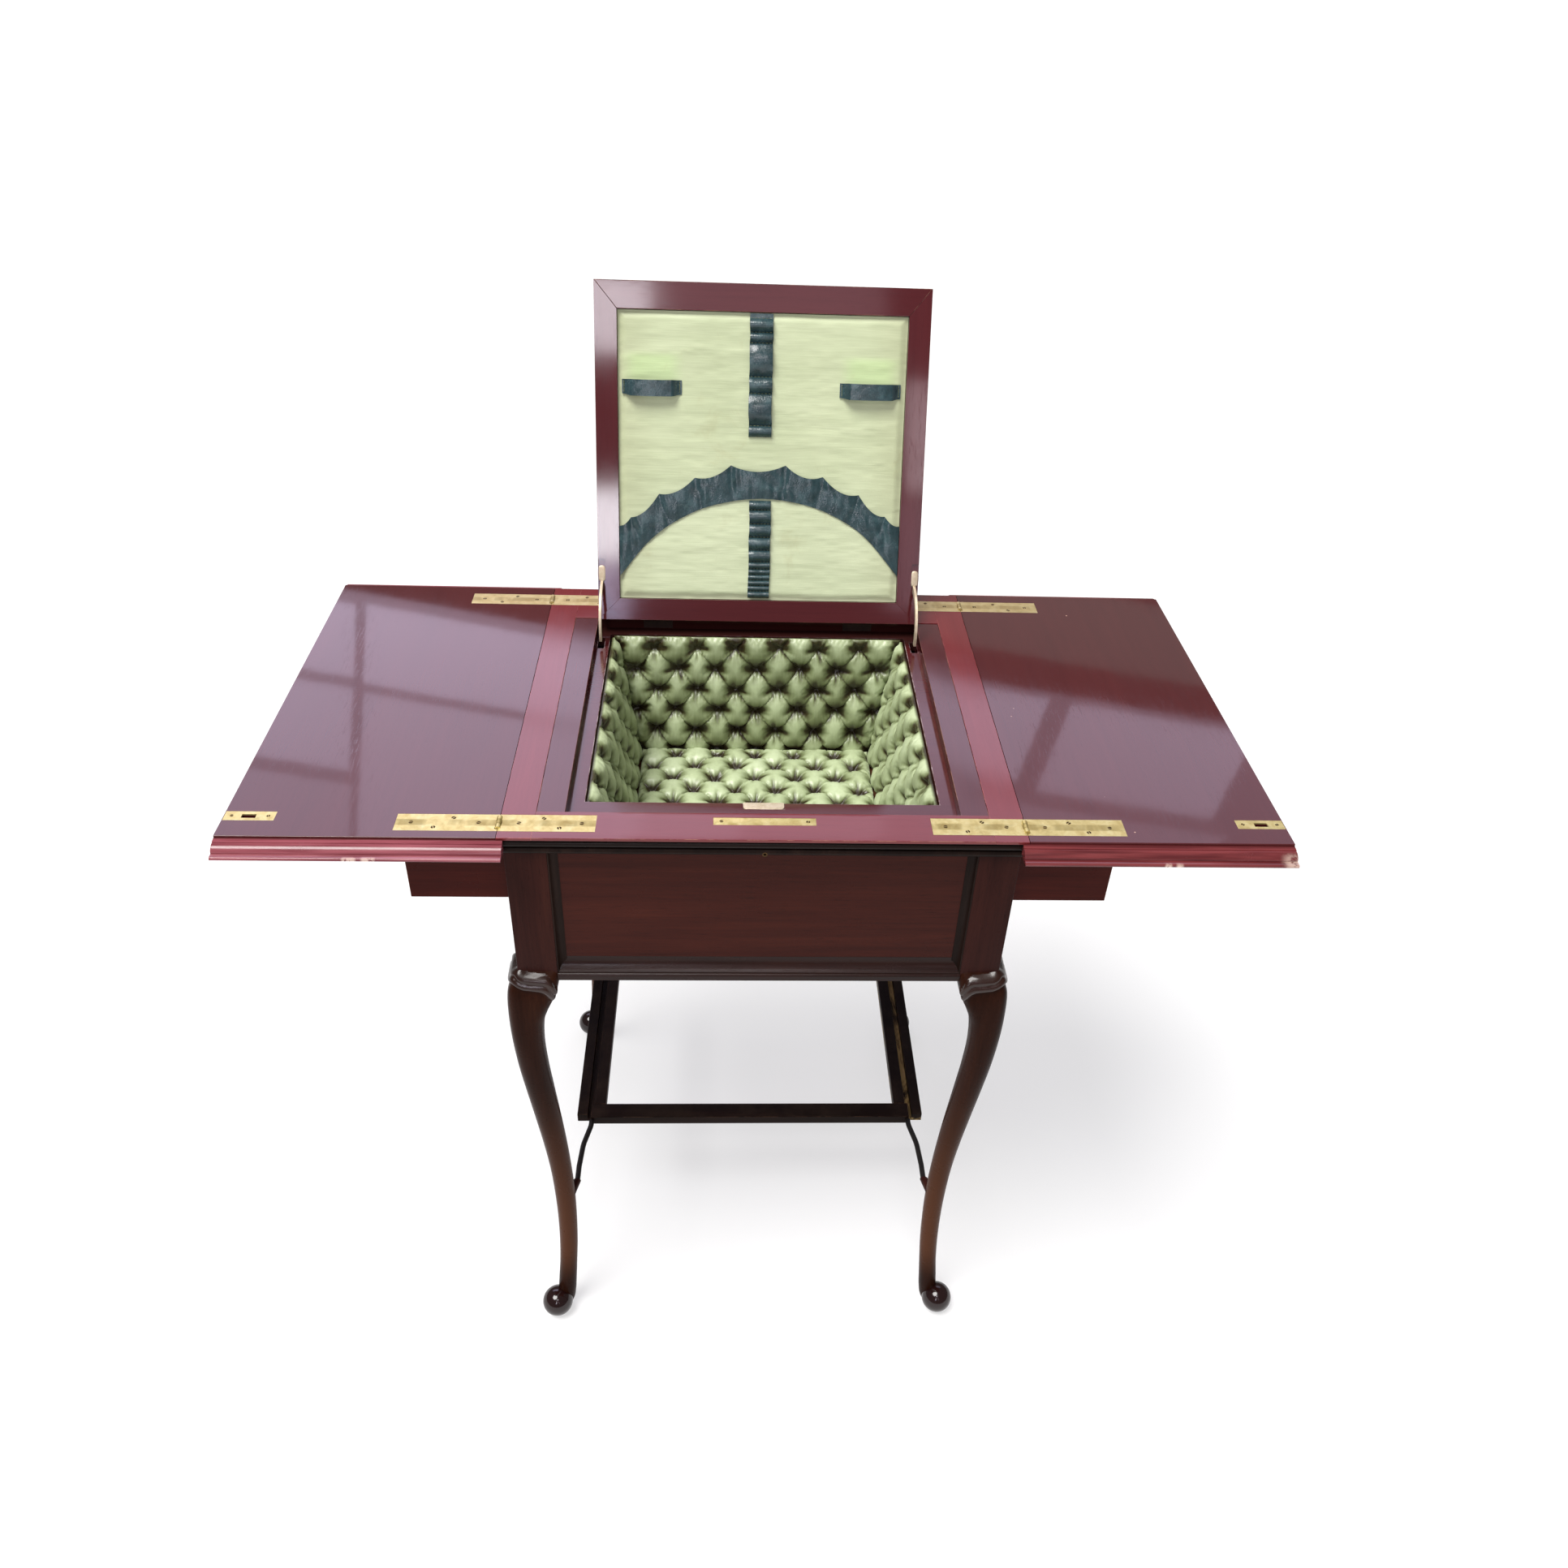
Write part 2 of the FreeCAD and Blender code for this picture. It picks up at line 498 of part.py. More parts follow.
pt, pb = d.pad_top_z, d.pad_bot_z
side_pad = prism("XZ", [(130, pb), (d.well_bot_x - 0.1, pb), (d.well_top_x - 0.3, pt), (152, pt)], -136.5, 125.5, "pad_side")
node("pad_right", side_pad)
node("pad_left", mirror(side_pad, MX))
node("pad_rear", prism("YZ", [(126, pb), (d.well_rear_bot - 0.1, pb), (d.well_rear_top - 0.3, pt), (140, pt)],
                       -129.5, 129.5, "pad_rear"))
pad_front = prism("YZ", [(137, pb), (d.well_front_bot - 0.1, pb), (d.well_front_top - 0.3, pt), (155, pt)],
                  -129.5, 129.5, "pad_front")
node("pad_front", mirror(pad_front, MY))
node("pad_floor", bx(-129.5, 129.5, -136.5, 125.5, d.floor_z1, d.floor_z1 + 13))

# ---------------------------------------------------------------- leaves
zt0, zu = d.top_z, d.top_z - d.leaf_th


def edge(sign):
    """Moulded long edge of a leaf from the top face down: quirk, slope, quarter round, lip."""
    h = d.half_y

    def p(o, dz):
        return ((h + o) if sign > 0 else -(h + o), zt0 - dz)

    def m(o, dz):
        return ("arc",) + p(o, dz)

    lip = d.lip_out
    return [p(-0.8, 0), m(-0.25, 0.25), p(0, 0.8), p(0, 1.8), p(5.2, 2.5), p(5.2, 3.3), m(10.3, 4.7), p(12.9, 8.2),
            p(12.9, 9.0), p(lip - 1.8, 9.0), m(lip - 0.5, 9.5), p(lip, 10.6), p(lip, 11.2), m(lip - 0.25, 11.75),
            p(lip - 0.8, 12.0)]


def flip(items):
    return list(reversed(items))


leaf_profile = edge(1) + flip(edge(-1))
leaf_blank = prism("YZ", leaf_profile, d.strip_in_x, d.leaf_out_x, "leaf")
hinge_edge = bx(220, d.joint_x + d.leaf_gap, -d.half_y - 0.3, d.half_y + 0.3, 700, 740)
strike_seat = bx(d.strike_in_x, d.leaf_out_x - 0.5, -204.5, -192, zt0 - 1.6, zt0 + 1)
strike_slot = bx(437.5, 449.5, -201, -196, zt0 - 8, zt0 + 1)
leaf_right = cut(leaf_blank, hinge_edge, strike_seat, strike_slot, *seats_r_move)
node("leaf_board_right", leaf_right)
node("leaf_board_left", mirror(leaf_right, MX))
strike = cut(bx(d.strike_in_x, d.leaf_out_x - 0.5, -204.5, -192, zt0 - 1.6, zt0), strike_slot)
node("strike_plate_right", strike)
node("strike_plate_left", mirror(strike, MX))

# ---------------------------------------------------------------- lid, drawn shut and then opened
open_lid = FreeCAD.Placement(V(0, 0, 0), FreeCAD.Rotation(V(1, 0, 0), -d.lid_open_deg.v),
                             V(0, d.lid_axis_y.v, d.top_z.v))


def lid_node(name, *objs):
    o = group(*objs)
    o.Placement = open_lid
    return node(name, o)


hx, yf, yr, fw, fwf = d.lid_half_x, -d.lid_front_y, d.lid_rear_y, d.lid_frame_w, d.lid_front_w
zl0, zl1 = d.top_z - d.lid_th, d.top_z
stay_seats, stays = [], []
for s in (1,):
    seat = fuse(bx(d.stay_x0 - 2, d.stay_x1 + 2, d.lid_axis_y - 66, d.lid_axis_y - 22, zl0 - 1, zl0 + 1.6),
                bx(d.stay_x0 - 0.1, d.stay_x1 + 0.1, d.lid_axis_y - 45, d.lid_axis_y - 32, zl0 - 1, zl0 + 8))
    stay_seats.append(seat)
stile = prism("XY", [(hx - fw, yf + fwf), (hx, yf), (hx, yr), (hx - fw, yr - fw)], zl0, zl1, "lid_stile")
stile = cut(stile, stay_seats[0])
lid_node("lid_stile_right", stile)
lid_node("lid_stile_left", mirror(stile, MX))
lid_rail_rear = prism("XY", [(-hx, yr), (-(hx - fw), yr - fw), (hx - fw, yr - fw), (hx, yr)], zl0, zl1, "lid_rail_rear")
lid_node("lid_rail_rear", cut(lid_rail_rear, *[h[4] for h in lid_hinges]))
lid_rail_front = prism("XY", [(-hx, yf), (hx, yf), (hx - fw, yf + fwf), (-(hx - fw), yf + fwf)], zl0, zl1, "lid_rail_front")
lid_node("lid_rail_front", lid_rail_front)
z_silk = zl0 + d.silk_face_drop
lid_node("lid_panel", bx(-(hx - fw), hx - fw, yf + fwf, yr - fw, z_silk + d.silk_th, zl1))
lid_node("lid_silk_pad", bx(-(hx - fw) + 0.3, hx - fw - 0.3, yf + fwf + 0.3, yr - fw - 0.3, z_silk, z_silk + d.silk_th))
lid_node("lid_hinge_plates", *[h[1] for h in lid_hinges])

# leather fittings on the lining: u is the distance in front of the hinge line
ya = d.lid_axis_y


def leather(x0, x1, u0, u1, th=1.6):
    return bx(x0, x1, ya - u1, ya - u0, z_silk - th, z_silk)


lid_node("lid_strap_loops", leather(-14, 10, 195, 317), leather(-12, 11, 26, 126),
         leather(-146, -84, 233, 252), leather(81, 145, 234, 253))
cusps = [(-150, 101), (-138, 110), (-108, 135), (-70, 152.5), (-32, 166), (26, 167), (66, 156), (105, 138),
         (134, 116), (150, 106)]
dips = [(-144, 103), (-122, 117.5), (-90, 137.5), (-52, 153.5), (-2, 160), (46, 155), (86, 140), (119, 121), (141.5, 108)]
inner = [(150, 53), (114, 93), (73, 118), (29, 130), (-1, 132), (-32, 128.5), (-75, 115), (-119, 85), (-150, 48)]
outline = []
for i, cpt in enumerate(cusps):
    outline.append((cpt[0], ya - cpt[1]))
    if i < len(dips):
        outline.append(("arc", dips[i][0], ya - dips[i][1]))
for k in range(0, len(inner) - 1, 2):
    outline.append((inner[k][0], ya - inner[k][1]))
    outline.append(("arc", inner[k + 1][0], ya - inner[k + 1][1]))
outline.append((inner[-1][0], ya - inner[-1][1]))
lid_node("lid_leather_band", prism("XY", outline, z_silk - 1.4, z_silk, "band"))

# quadrant stays: a flat brass arc about the lid's axis, let into the stile
ring = cut(cyl("X", d.stay_x0, ya, zl1, d.stay_r1, d.stay_x1 - d.stay_x0),
           cyl("X", d.stay_x0 - 1, ya, zl1, d.stay_r0, d.stay_x1 - d.stay_x0 + 2))


def wedge(a0, a1):
    """A sector about the lid axis, from a0 to a1 degrees under the shut lid."""
    n = 8
    R = 70.0
    pts = [(ya, zl1)]
    for i in range(n + 1):
        a = math.radians(a0 + (a1 - a0) * i / n)
        pts.append((ya - R * math.cos(a), zl1 - R * math.sin(a)))
    return prism("YZ", pts, d.stay_x0 - 1, d.stay_x1 + 1, "sector")


arc = add("Part::Common", "stay_arc")
arc.Base = ring
arc.Tool = wedge(12.5, 118)
foot = bx(d.stay_x0 - 2, d.stay_x1 + 2, ya - 66, ya - 22, zl0, zl0 + 1.6)
stay = fuse(arc, foot)
lid_node("lid_stays", stay, mirror(stay, MX))

# ---------------------------------------------------------------- bent iron braces
def bent_rod(points, radii, r):
    """A round rod along straight runs joined by tangent arcs."""
    edges = []
    here = points[0]
    length = 0.0
    for i in range(1, len(points) - 1):
        p = points[i]
        a = (points[i - 1] - p).normalize()
        b = (points[i + 1] - p).normalize()
        half = a.getAngle(b) / 2.0
        t = radii[i - 1] / math.tan(half)
        s, e = p + a * t, p + b * t
        mid = p + (a + b).normalize() * (radii[i - 1] / math.sin(half) - radii[i - 1])
        edges.append(Part.LineSegment(here, s).toShape())
        edges.append(Part.Arc(s, mid, e).toShape())
        here = e
    edges.append(Part.LineSegment(here, points[-1]).toShape())
    wire = Part.Wire(edges)
    t0 = (points[1] - points[0]).normalize()
    ring0 = Part.Wire([Part.makeCircle(r, points[0], t0)])
    shape = wire.makePipeShell([ring0], True, False)
    print("rod length %.1f volume %.1f expected %.1f" % (wire.Length, shape.Volume, math.pi * r * r * wire.Length))
    return shape


zm = (d.str_z0.v + d.str_z1.v) / 2.0
rod = add("Part::Feature", "iron_rod")
rod.Shape = bent_rod([V(187, -d.bar_y0.v, zm), V(187, -111, zm), V(193.5, -138, zm), V(195.5, -168, zm), V(195.5, -187, zm)],
                     [30.0, 60.0, 22.0], d.rod_r.v)
node("iron_rod_right", rod)
node("iron_rod_left", mirror(rod, MX))

# ---------------------------------------------------------------- check and write
doc.recompute()
bad = [o.Name for o in made if any(s in ("Invalid", "Error") for s in o.State)]
for name, o in nodes.items():
    if o.Shape.isNull() or not o.Shape.isValid() or not o.Shape.Solids:
        bad.append(name)
if bad:
    for b in bad:
        print("failed:", b)
    raise SystemExit("some pieces failed: %d" % len(bad))
os.makedirs("parts", exist_ok=True)
for name, o in sorted(nodes.items()):
    o.Shape.exportStep("parts/%s.step" % name)
print("%d nodes written" % len(nodes))
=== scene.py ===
"""Work table with a fold-over top: the looks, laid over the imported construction."""

import bpy
import bmesh
import json
import math
import numpy as np
from mathutils import Matrix, Vector

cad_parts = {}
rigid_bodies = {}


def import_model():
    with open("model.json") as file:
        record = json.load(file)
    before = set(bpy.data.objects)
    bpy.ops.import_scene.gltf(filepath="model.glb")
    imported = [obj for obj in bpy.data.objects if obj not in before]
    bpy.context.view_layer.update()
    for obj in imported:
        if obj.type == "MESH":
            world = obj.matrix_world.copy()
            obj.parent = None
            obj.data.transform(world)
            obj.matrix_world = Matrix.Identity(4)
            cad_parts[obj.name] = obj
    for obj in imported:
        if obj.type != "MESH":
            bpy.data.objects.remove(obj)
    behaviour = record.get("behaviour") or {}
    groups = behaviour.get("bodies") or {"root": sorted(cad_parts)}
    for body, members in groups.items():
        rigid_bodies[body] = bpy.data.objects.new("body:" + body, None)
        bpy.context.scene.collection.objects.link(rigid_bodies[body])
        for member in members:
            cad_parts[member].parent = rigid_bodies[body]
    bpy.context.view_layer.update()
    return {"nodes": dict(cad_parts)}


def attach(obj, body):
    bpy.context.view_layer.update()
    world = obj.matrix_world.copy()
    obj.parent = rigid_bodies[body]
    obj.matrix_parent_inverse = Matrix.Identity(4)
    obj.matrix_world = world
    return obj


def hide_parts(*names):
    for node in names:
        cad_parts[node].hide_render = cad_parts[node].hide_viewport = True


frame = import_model()
NODES = frame["nodes"]
scene = bpy.context.scene
rng = np.random.default_rng(11)
MM = 0.001

# ------------------------------------------------------------------ values
TOP = 725.0                      # top of the table, mm
JOINT_X = 229.8                  # hinge line of the leaves
LEAF_OUT = 464.7
LID_Y, LID_Z = 158.65, 725.0     # axis of the lid
LID_OPEN = math.radians(-111.0)
SILK_Z = 715.0                   # shut height of the lining's face


# ------------------------------------------------------------------ node helpers
def srgb(r, g, b):
    out = []
    for c in (r, g, b):
        c = c / 255.0
        out.append(c / 12.92 if c <= 0.04045 else ((c + 0.055) / 1.055) ** 2.4)
    return (out[0], out[1], out[2], 1.0)


class Look:
    """A small wrapper that keeps the node trees short to write."""

    def __init__(self, name):
        self.m = bpy.data.materials.new(name)
        self.m.use_nodes = True
        self.t = self.m.node_tree
        self.t.nodes.clear()
        self.out = self.n("ShaderNodeOutputMaterial")
        self.b = self.n("ShaderNodeBsdfPrincipled")
        self.t.links.new(self.b.outputs[0], self.out.inputs[0])

    def n(self, kind, **kw):
        x = self.t.nodes.new(kind)
        for k, v in kw.items():
            setattr(x, k, v)
        return x

    def put(self, socket, value):
        if isinstance(value, bpy.types.NodeSocket):
            self.t.links.new(value, socket)
        elif value is not None:
            socket.default_value = value

    def set(self, **kw):
        names = {"color": "Base Color", "metal": "Metallic", "rough": "Roughness", "coat": "Coat Weight",
                 "coat_rough": "Coat Roughness", "sheen": "Sheen Weight", "sheen_rough": "Sheen Roughness",
                 "sheen_tint": "Sheen Tint", "spec": "Specular IOR Level", "normal": "Normal", "aniso": "Anisotropic",
                 "coat_normal": "Coat Normal", "ior": "IOR", "sub": "Subsurface Weight"}
        for k, v in kw.items():
            self.put(self.b.inputs[names[k]], v)
        return self

    def coord(self):
        return self.n("ShaderNodeTexCoord").outputs["Object"]

    def math(self, op, a, b=None, c=None, clamp=False):
        x = self.n("ShaderNodeMath", operation=op, use_clamp=clamp)
        self.put(x.inputs[0], a)
        if b is not None:
            self.put(x.inputs[1], b)
        if c is not None:
            self.put(x.inputs[2], c)
        return x.outputs[0]

    def vmul(self, v, s):
        x = self.n("ShaderNodeVectorMath", operation="MULTIPLY")
        self.put(x.inputs[0], v)
        self.put(x.inputs[1], s)
        return x.outputs[0]

    def vadd(self, v, s):
        x = self.n("ShaderNodeVectorMath", operation="ADD")
        self.put(x.inputs[0], v)
        self.put(x.inputs[1], s)
        return x.outputs[0]

    def sep(self, v):
        x = self.n("ShaderNodeSeparateXYZ")
        self.put(x.inputs[0], v)
        return x.outputs

    def noise(self, v, scale, detail=3.0, rough=0.55, dist=0.0):
        x = self.n("ShaderNodeTexNoise")
        self.put(x.inputs["Vector"], v)
        self.put(x.inputs["Scale"], scale)
        self.put(x.inputs["Detail"], detail)
        self.put(x.inputs["Roughness"], rough)
        self.put(x.inputs["Distortion"], dist)
        return x.outputs["Fac"]

    def voronoi(self, v, scale, feature="F1"):
        x = self.n("ShaderNodeTexVoronoi", feature=feature)
        self.put(x.inputs["Vector"], v)
        self.put(x.inputs["Scale"], scale)
        return x.outputs["Distance"]

    def span(self, v, a, b, c=0.0, d=1.0):
        x = self.n("ShaderNodeMapRange", interpolation_type="SMOOTHSTEP")
        for i, w in enumerate((v, a, b, c, d)):
            self.put(x.inputs[i], w)
        return x.outputs[0]

    def mix(self, f, a, b, kind="MIX"):
        x = self.n("ShaderNodeMix", data_type="RGBA", blend_type=kind)
        self.put(x.inputs[0], f)
        self.put(x.inputs[6], a)
        self.put(x.inputs[7], b)
        return x.outputs[2]

    def ramp(self, f, stops):
        x = self.n("ShaderNodeValToRGB")
        e = x.color_ramp.elements
        while len(e) < len(stops):
            e.new(0.5)
        for el, (p, c) in zip(e, stops):
            el.position = p
            el.color = c
        self.put(x.inputs[0], f)
        return x.outputs[0]

    def bump(self, h, strength, dist, normal=None):
        x = self.n("ShaderNodeBump")
        self.put(x.inputs["Strength"], strength)
        self.put(x.inputs["Distance"], dist)
        self.put(x.inputs["Height"], h)
        if normal is not None:
            self.put(x.inputs["Normal"], normal)
        return x.outputs[0]

    def attr(self, name):
        x = self.n("ShaderNodeAttribute", attribute_name=name)
        return x.outputs["Fac"]


# ------------------------------------------------------------------ materials
def wood(name, along, stops, rough=0.30, spec=0.30, lid=False, shift=(0, 0, 0), figure=1.0,
         edge_wear_and_glint=None, edge_wear_and_glint_amount=0.55, extra=None, dust=None, fine_k=0.30, pore_k=0.45, wave_k=0.20, pore_b=0.12, matt=None):
    """Polished mahogany: broad figure, ribbon streaks, pores and rubbed edges, where some woods also get a painted
    highlight; along is the grain's axis.
    """
    m = Look(name)
    p = m.coord()
    if lid:
        r = m.n("ShaderNodeVectorRotate", rotation_type="X_AXIS")
        m.put(r.inputs["Vector"], p)
        r.inputs["Center"].default_value = (0, LID_Y * MM, LID_Z * MM)
        r.inputs["Angle"].default_value = -LID_OPEN
        p = r.outputs[0]
    place = p
    p = m.vadd(p, shift)

    def stretch(k):
        s = [1.0, 1.0, 1.0]
        s["XYZ".index(along)] = k
        return m.vmul(p, tuple(s))

    broad = m.noise(stretch(0.22), 9.0, 3.0, 0.5, 0.6)
    ribbon = m.noise(stretch(0.055), 70.0, 3.0, 0.6, 0.35)
    fine = m.noise(stretch(0.03), 420.0, 2.0, 0.6, 0.0)
    pores = m.noise(stretch(0.045), 1500.0, 2.0, 0.5, 0.0)
    f = m.math("MULTIPLY_ADD", broad, 0.55 * figure, 0.5 - 0.275 * figure)
    f = m.math("MULTIPLY_ADD", m.math("SUBTRACT", ribbon, 0.5), 0.62 * figure, f)
    f = m.math("MULTIPLY_ADD", m.math("SUBTRACT", fine, 0.5), fine_k, f)
    col = m.ramp(f, stops)
    pore = m.span(pores, 0.60, 0.72)
    col = m.mix(m.math("MULTIPLY", pore, pore_k), col, (stops[0][1][0] * 0.4, stops[0][1][1] * 0.4, stops[0][1][2] * 0.4, 1))
    smudge = m.noise(m.vadd(p, (3.1, 1.7, 0.4)), 26.0, 4.0, 0.6, 0.3)
    if edge_wear_and_glint is not None:
        edge = m.attr("edge")
        rub_and_glint = m.span(m.noise(p, 60.0, 4.0, 0.65, 0.5), 0.40, 0.66)
        rub_and_glint = m.math("MULTIPLY", m.math("MULTIPLY", edge, rub_and_glint), edge_wear_and_glint_amount)
        col = m.mix(rub_and_glint, col, edge_wear_and_glint)
    if dust is not None:
        up = m.sep(m.n("ShaderNodeNewGeometry").outputs["Normal"])[2]
        film = m.math("MULTIPLY", m.span(up, 0.2, 1.0), m.span(smudge, 0.35, 0.75))
        col = m.mix(m.math("MULTIPLY", film, dust[0]), col, dust[1])
    if extra is not None:
        col = extra(m, place, col)
    rg = m.math("MULTIPLY_ADD", m.math("SUBTRACT", smudge, 0.5), rough * 0.7, rough)
    rg = m.math("MULTIPLY_ADD", pore, 0.13 * pore_k, rg, clamp=True)
    wave = m.bump(m.noise(stretch(0.3), 22.0, 2.0, 0.5), wave_k, 0.0010)
    b = m.bump(m.math("MULTIPLY_ADD", pore, -0.6, m.math("MULTIPLY", fine, 0.25)), pore_b, 0.0003, wave)
    if matt is not None:                                  # the gloss is taken off where the matt mask says; the one such mask marks the painted shade behind the lid
        spec = m.math("MULTIPLY_ADD", matt(m, place), -0.93 * spec, spec)
    m.set(color=col, rough=rg, normal=b, spec=spec)
    return m.m


TOP_STOPS = [(0.15, srgb(56, 17, 19)), (0.45, srgb(72, 24, 26)), (0.62, srgb(80, 29, 30)), (0.88, srgb(94, 38, 36))]
RAIL_STOPS = [(0.15, srgb(80, 22, 25)), (0.45, srgb(104, 32, 35)), (0.62, srgb(116, 39, 41)), (0.88, srgb(134, 54, 52))]
LID_STOPS = [(0.15, srgb(54, 16, 20)), (0.45, srgb(76, 26, 31)), (0.62, srgb(86, 32, 36)), (0.88, srgb(104, 44, 44))]
CASE_STOPS = [(0.15, srgb(36, 12, 9)), (0.45, srgb(56, 21, 15)), (0.62, srgb(65, 26, 18)), (0.88, srgb(80, 36, 25))]
POST_STOPS = [(0.15, srgb(28, 11, 9)), (0.45, srgb(43, 19, 16)), (0.62, srgb(50, 23, 19)), (0.88, srgb(62, 31, 24))]
LEG_STOPS = [(0.15, srgb(22, 9, 5)), (0.45, srgb(35, 16, 9)), (0.62, srgb(43, 21, 13)), (0.88, srgb(56, 31, 19))]
MOULD_STOPS = [(0.15, srgb(20, 10, 9)), (0.45, srgb(34, 18, 15)), (0.62, srgb(42, 23, 19)), (0.88, srgb(56, 33, 27))]
# near-black stops for the painted shade in the coves, the frieze and the edge of the top
COVE_SHADE_STOPS = [(0.15, srgb(14, 9, 8)), (0.45, srgb(24, 15, 12)), (0.62, srgb(31, 20, 16)), (0.88, srgb(46, 31, 25))]
UNDER_STOPS = [(0.15, srgb(13, 8, 6)), (0.45, srgb(24, 14, 10)), (0.62, srgb(31, 18, 14)), (0.88, srgb(45, 29, 22))]
INNER_STOPS = [(0.15, srgb(60, 36, 22)), (0.45, srgb(86, 54, 34)), (0.62, srgb(102, 68, 42)), (0.88, srgb(124, 88, 58))]
PALE = srgb(196, 146, 118)


def near_x(m, p, spots, half, soft):
    """1 close to the given places along X."""
    x = m.sep(p)[0]
    total = None
    for s in spots:
        d = m.math("ABSOLUTE", m.math("SUBTRACT", x, s * MM))
        k = m.span(d, half * MM, (half + soft) * MM, 1.0, 0.0)
        total = k if total is None else m.math("MAXIMUM", total, k)
    return total


def chips(spots, corner=None, flecks=False, half=4.0):
    """Pale bruises on the lip of a leaf, a rubbed corner and a few flecks on the top."""

    def add(m, p, col):
        o = m.sep(p)
        low = m.math("MULTIPLY", m.span(o[1], -0.2445, -0.2405, 1.0, 0.0), m.span(o[2], 0.7125, 0.7165, 1.0, 0.35))
        rag = m.span(m.noise(p, 200.0, 4.0, 0.7), 0.38, 0.50)
        k = m.math("MULTIPLY", m.math("MULTIPLY", near_x(m, p, spots, half, 3.0), low), rag)
        if corner:
            c = m.math("MULTIPLY", m.span(m.math("ABSOLUTE", o[0]), corner[0] * MM, corner[1] * MM), m.span(o[1], -0.232, -0.240))
            k = m.math("MAXIMUM", k, m.math("MULTIPLY", m.math("MULTIPLY", c, m.span(m.noise(p, 120.0, 4.0, 0.7), 0.40, 0.58)), 0.5))
        col = m.mix(k, col, srgb(232, 206, 190))
        if flecks:
            dots = m.span(m.voronoi(p, 46.0), 0.030, 0.050, 1.0, 0.0)
            some = m.span(m.noise(p, 18.0, 1.0), 0.56, 0.62)
            col = m.mix(m.math("MULTIPLY", m.math("MULTIPLY", dots, some), 0.75), col, srgb(200, 160, 140))
        return col

    return add


def strip_light_and_chips(spots, corner=None, flecks=False, low=(122, 52, 62), high=(160, 86, 96), half=4.0):
    """Painted light on the moulded front strip of a leaf: a paler, pinker red than its top, for the light the strip
    catches; then the chips.
    """
    chip = chips(spots, corner, flecks, half)

    def add(m, p, col):
        y = m.math("ABSOLUTE", m.sep(p)[1])
        k = m.math("MULTIPLY", m.span(y, 0.2266, 0.2282), 0.8)
        red = m.mix(m.span(m.noise(m.vmul(p, (0.05, 1, 1)), 240.0, 3.0), 0.3, 0.7), srgb(*low), srgb(*high))
        return chip(m, p, m.mix(k, col, red))

    return add


def rear_shade_mask(m, p):
    """Painted shade behind and under the lid, where the rails, slips and rim sit in its shadow."""
    o = m.sep(p)
    return m.math("MULTIPLY", m.span(o[1], 0.120, 0.140), m.span(o[2], 0.7246, 0.7225))


def rear_shade(m, p, col):
    # painted shade: near-black brown where the mask is set
    return m.mix(m.math("MULTIPLY", rear_shade_mask(m, p), 0.90), col, srgb(42, 21, 19))


def edge_painted_shade(m, p, col):
    """Painted shade: below its thin lip the edge of the fixed top is darkened to near black, as if in shadow."""
    o = m.sep(p)
    k = m.math("MULTIPLY", m.span(m.math("ABSOLUTE", o[1]), 0.2205, 0.2216), m.span(o[2], 0.7226, 0.7216))
    return m.mix(m.math("MULTIPLY", k, 0.93), col, srgb(26, 13, 13))


def paler_shin(m, p, col):
    """The lower half of a leg is coloured a lighter brown."""
    return m.mix(m.math("MULTIPLY", m.math("MULTIPLY", m.span(m.sep(p)[2], 0.44, 0.14), m.span(m.sep(p)[2], 0.04, 0.11)), 0.72), col, srgb(90, 55, 36))


def rail_shades(m, p, col):
    return edge_painted_shade(m, p, rear_shade(m, p, col))


def channel(m, p, col):
    """Bare, rubbed wood shows in the channel of the right rail."""
    o = m.sep(p)
    k = m.math("MULTIPLY", m.span(o[2], 0.1995, 0.1985), m.span(o[0], 0.1, 0.15))
    k = m.math("MULTIPLY", k, m.span(m.noise(m.vmul(p, (1.0, 0.25, 1.0)), 90.0, 4.0, 0.7, 0.6), 0.36, 0.60))
    return m.mix(m.math("MULTIPLY", k, 0.85), col, srgb(168, 142, 92))


CALM = dict(figure=0.40, fine_k=0.10, pore_k=0.15, wave_k=0.05, pore_b=0.02)
# the front strips of the leaves carry painted light, paler on the left leaf than on the right
W_LEAF_L = wood("wood_leaf_left", "Y", TOP_STOPS, 0.042, 0.5, shift=(0.13, 0.2, 0.0), edge_wear_and_glint=PALE, edge_wear_and_glint_amount=0.30,
                extra=strip_light_and_chips([-350, -334]), **CALM)
W_LEAF_R = wood("wood_leaf_right", "Y", TOP_STOPS, 0.045, 0.5, edge_wear_and_glint=PALE, edge_wear_and_glint_amount=0.30,
                extra=strip_light_and_chips([349, 359], (448, 458), True, (84, 29, 33), (126, 55, 57), 1.2), **CALM)
W_STRIP_L = wood("wood_strip_left", "X", TOP_STOPS, 0.25, 0.5, edge_wear_and_glint=PALE, edge_wear_and_glint_amount=0.25, extra=strip_light_and_chips([-350, -334]), **CALM)
W_STRIP_R = wood("wood_strip_right", "X", TOP_STOPS, 0.25, 0.5, edge_wear_and_glint=PALE, edge_wear_and_glint_amount=0.25,
                 extra=strip_light_and_chips([349, 359], (448, 458), True, (84, 29, 33), (126, 55, 57), 1.2), **CALM)
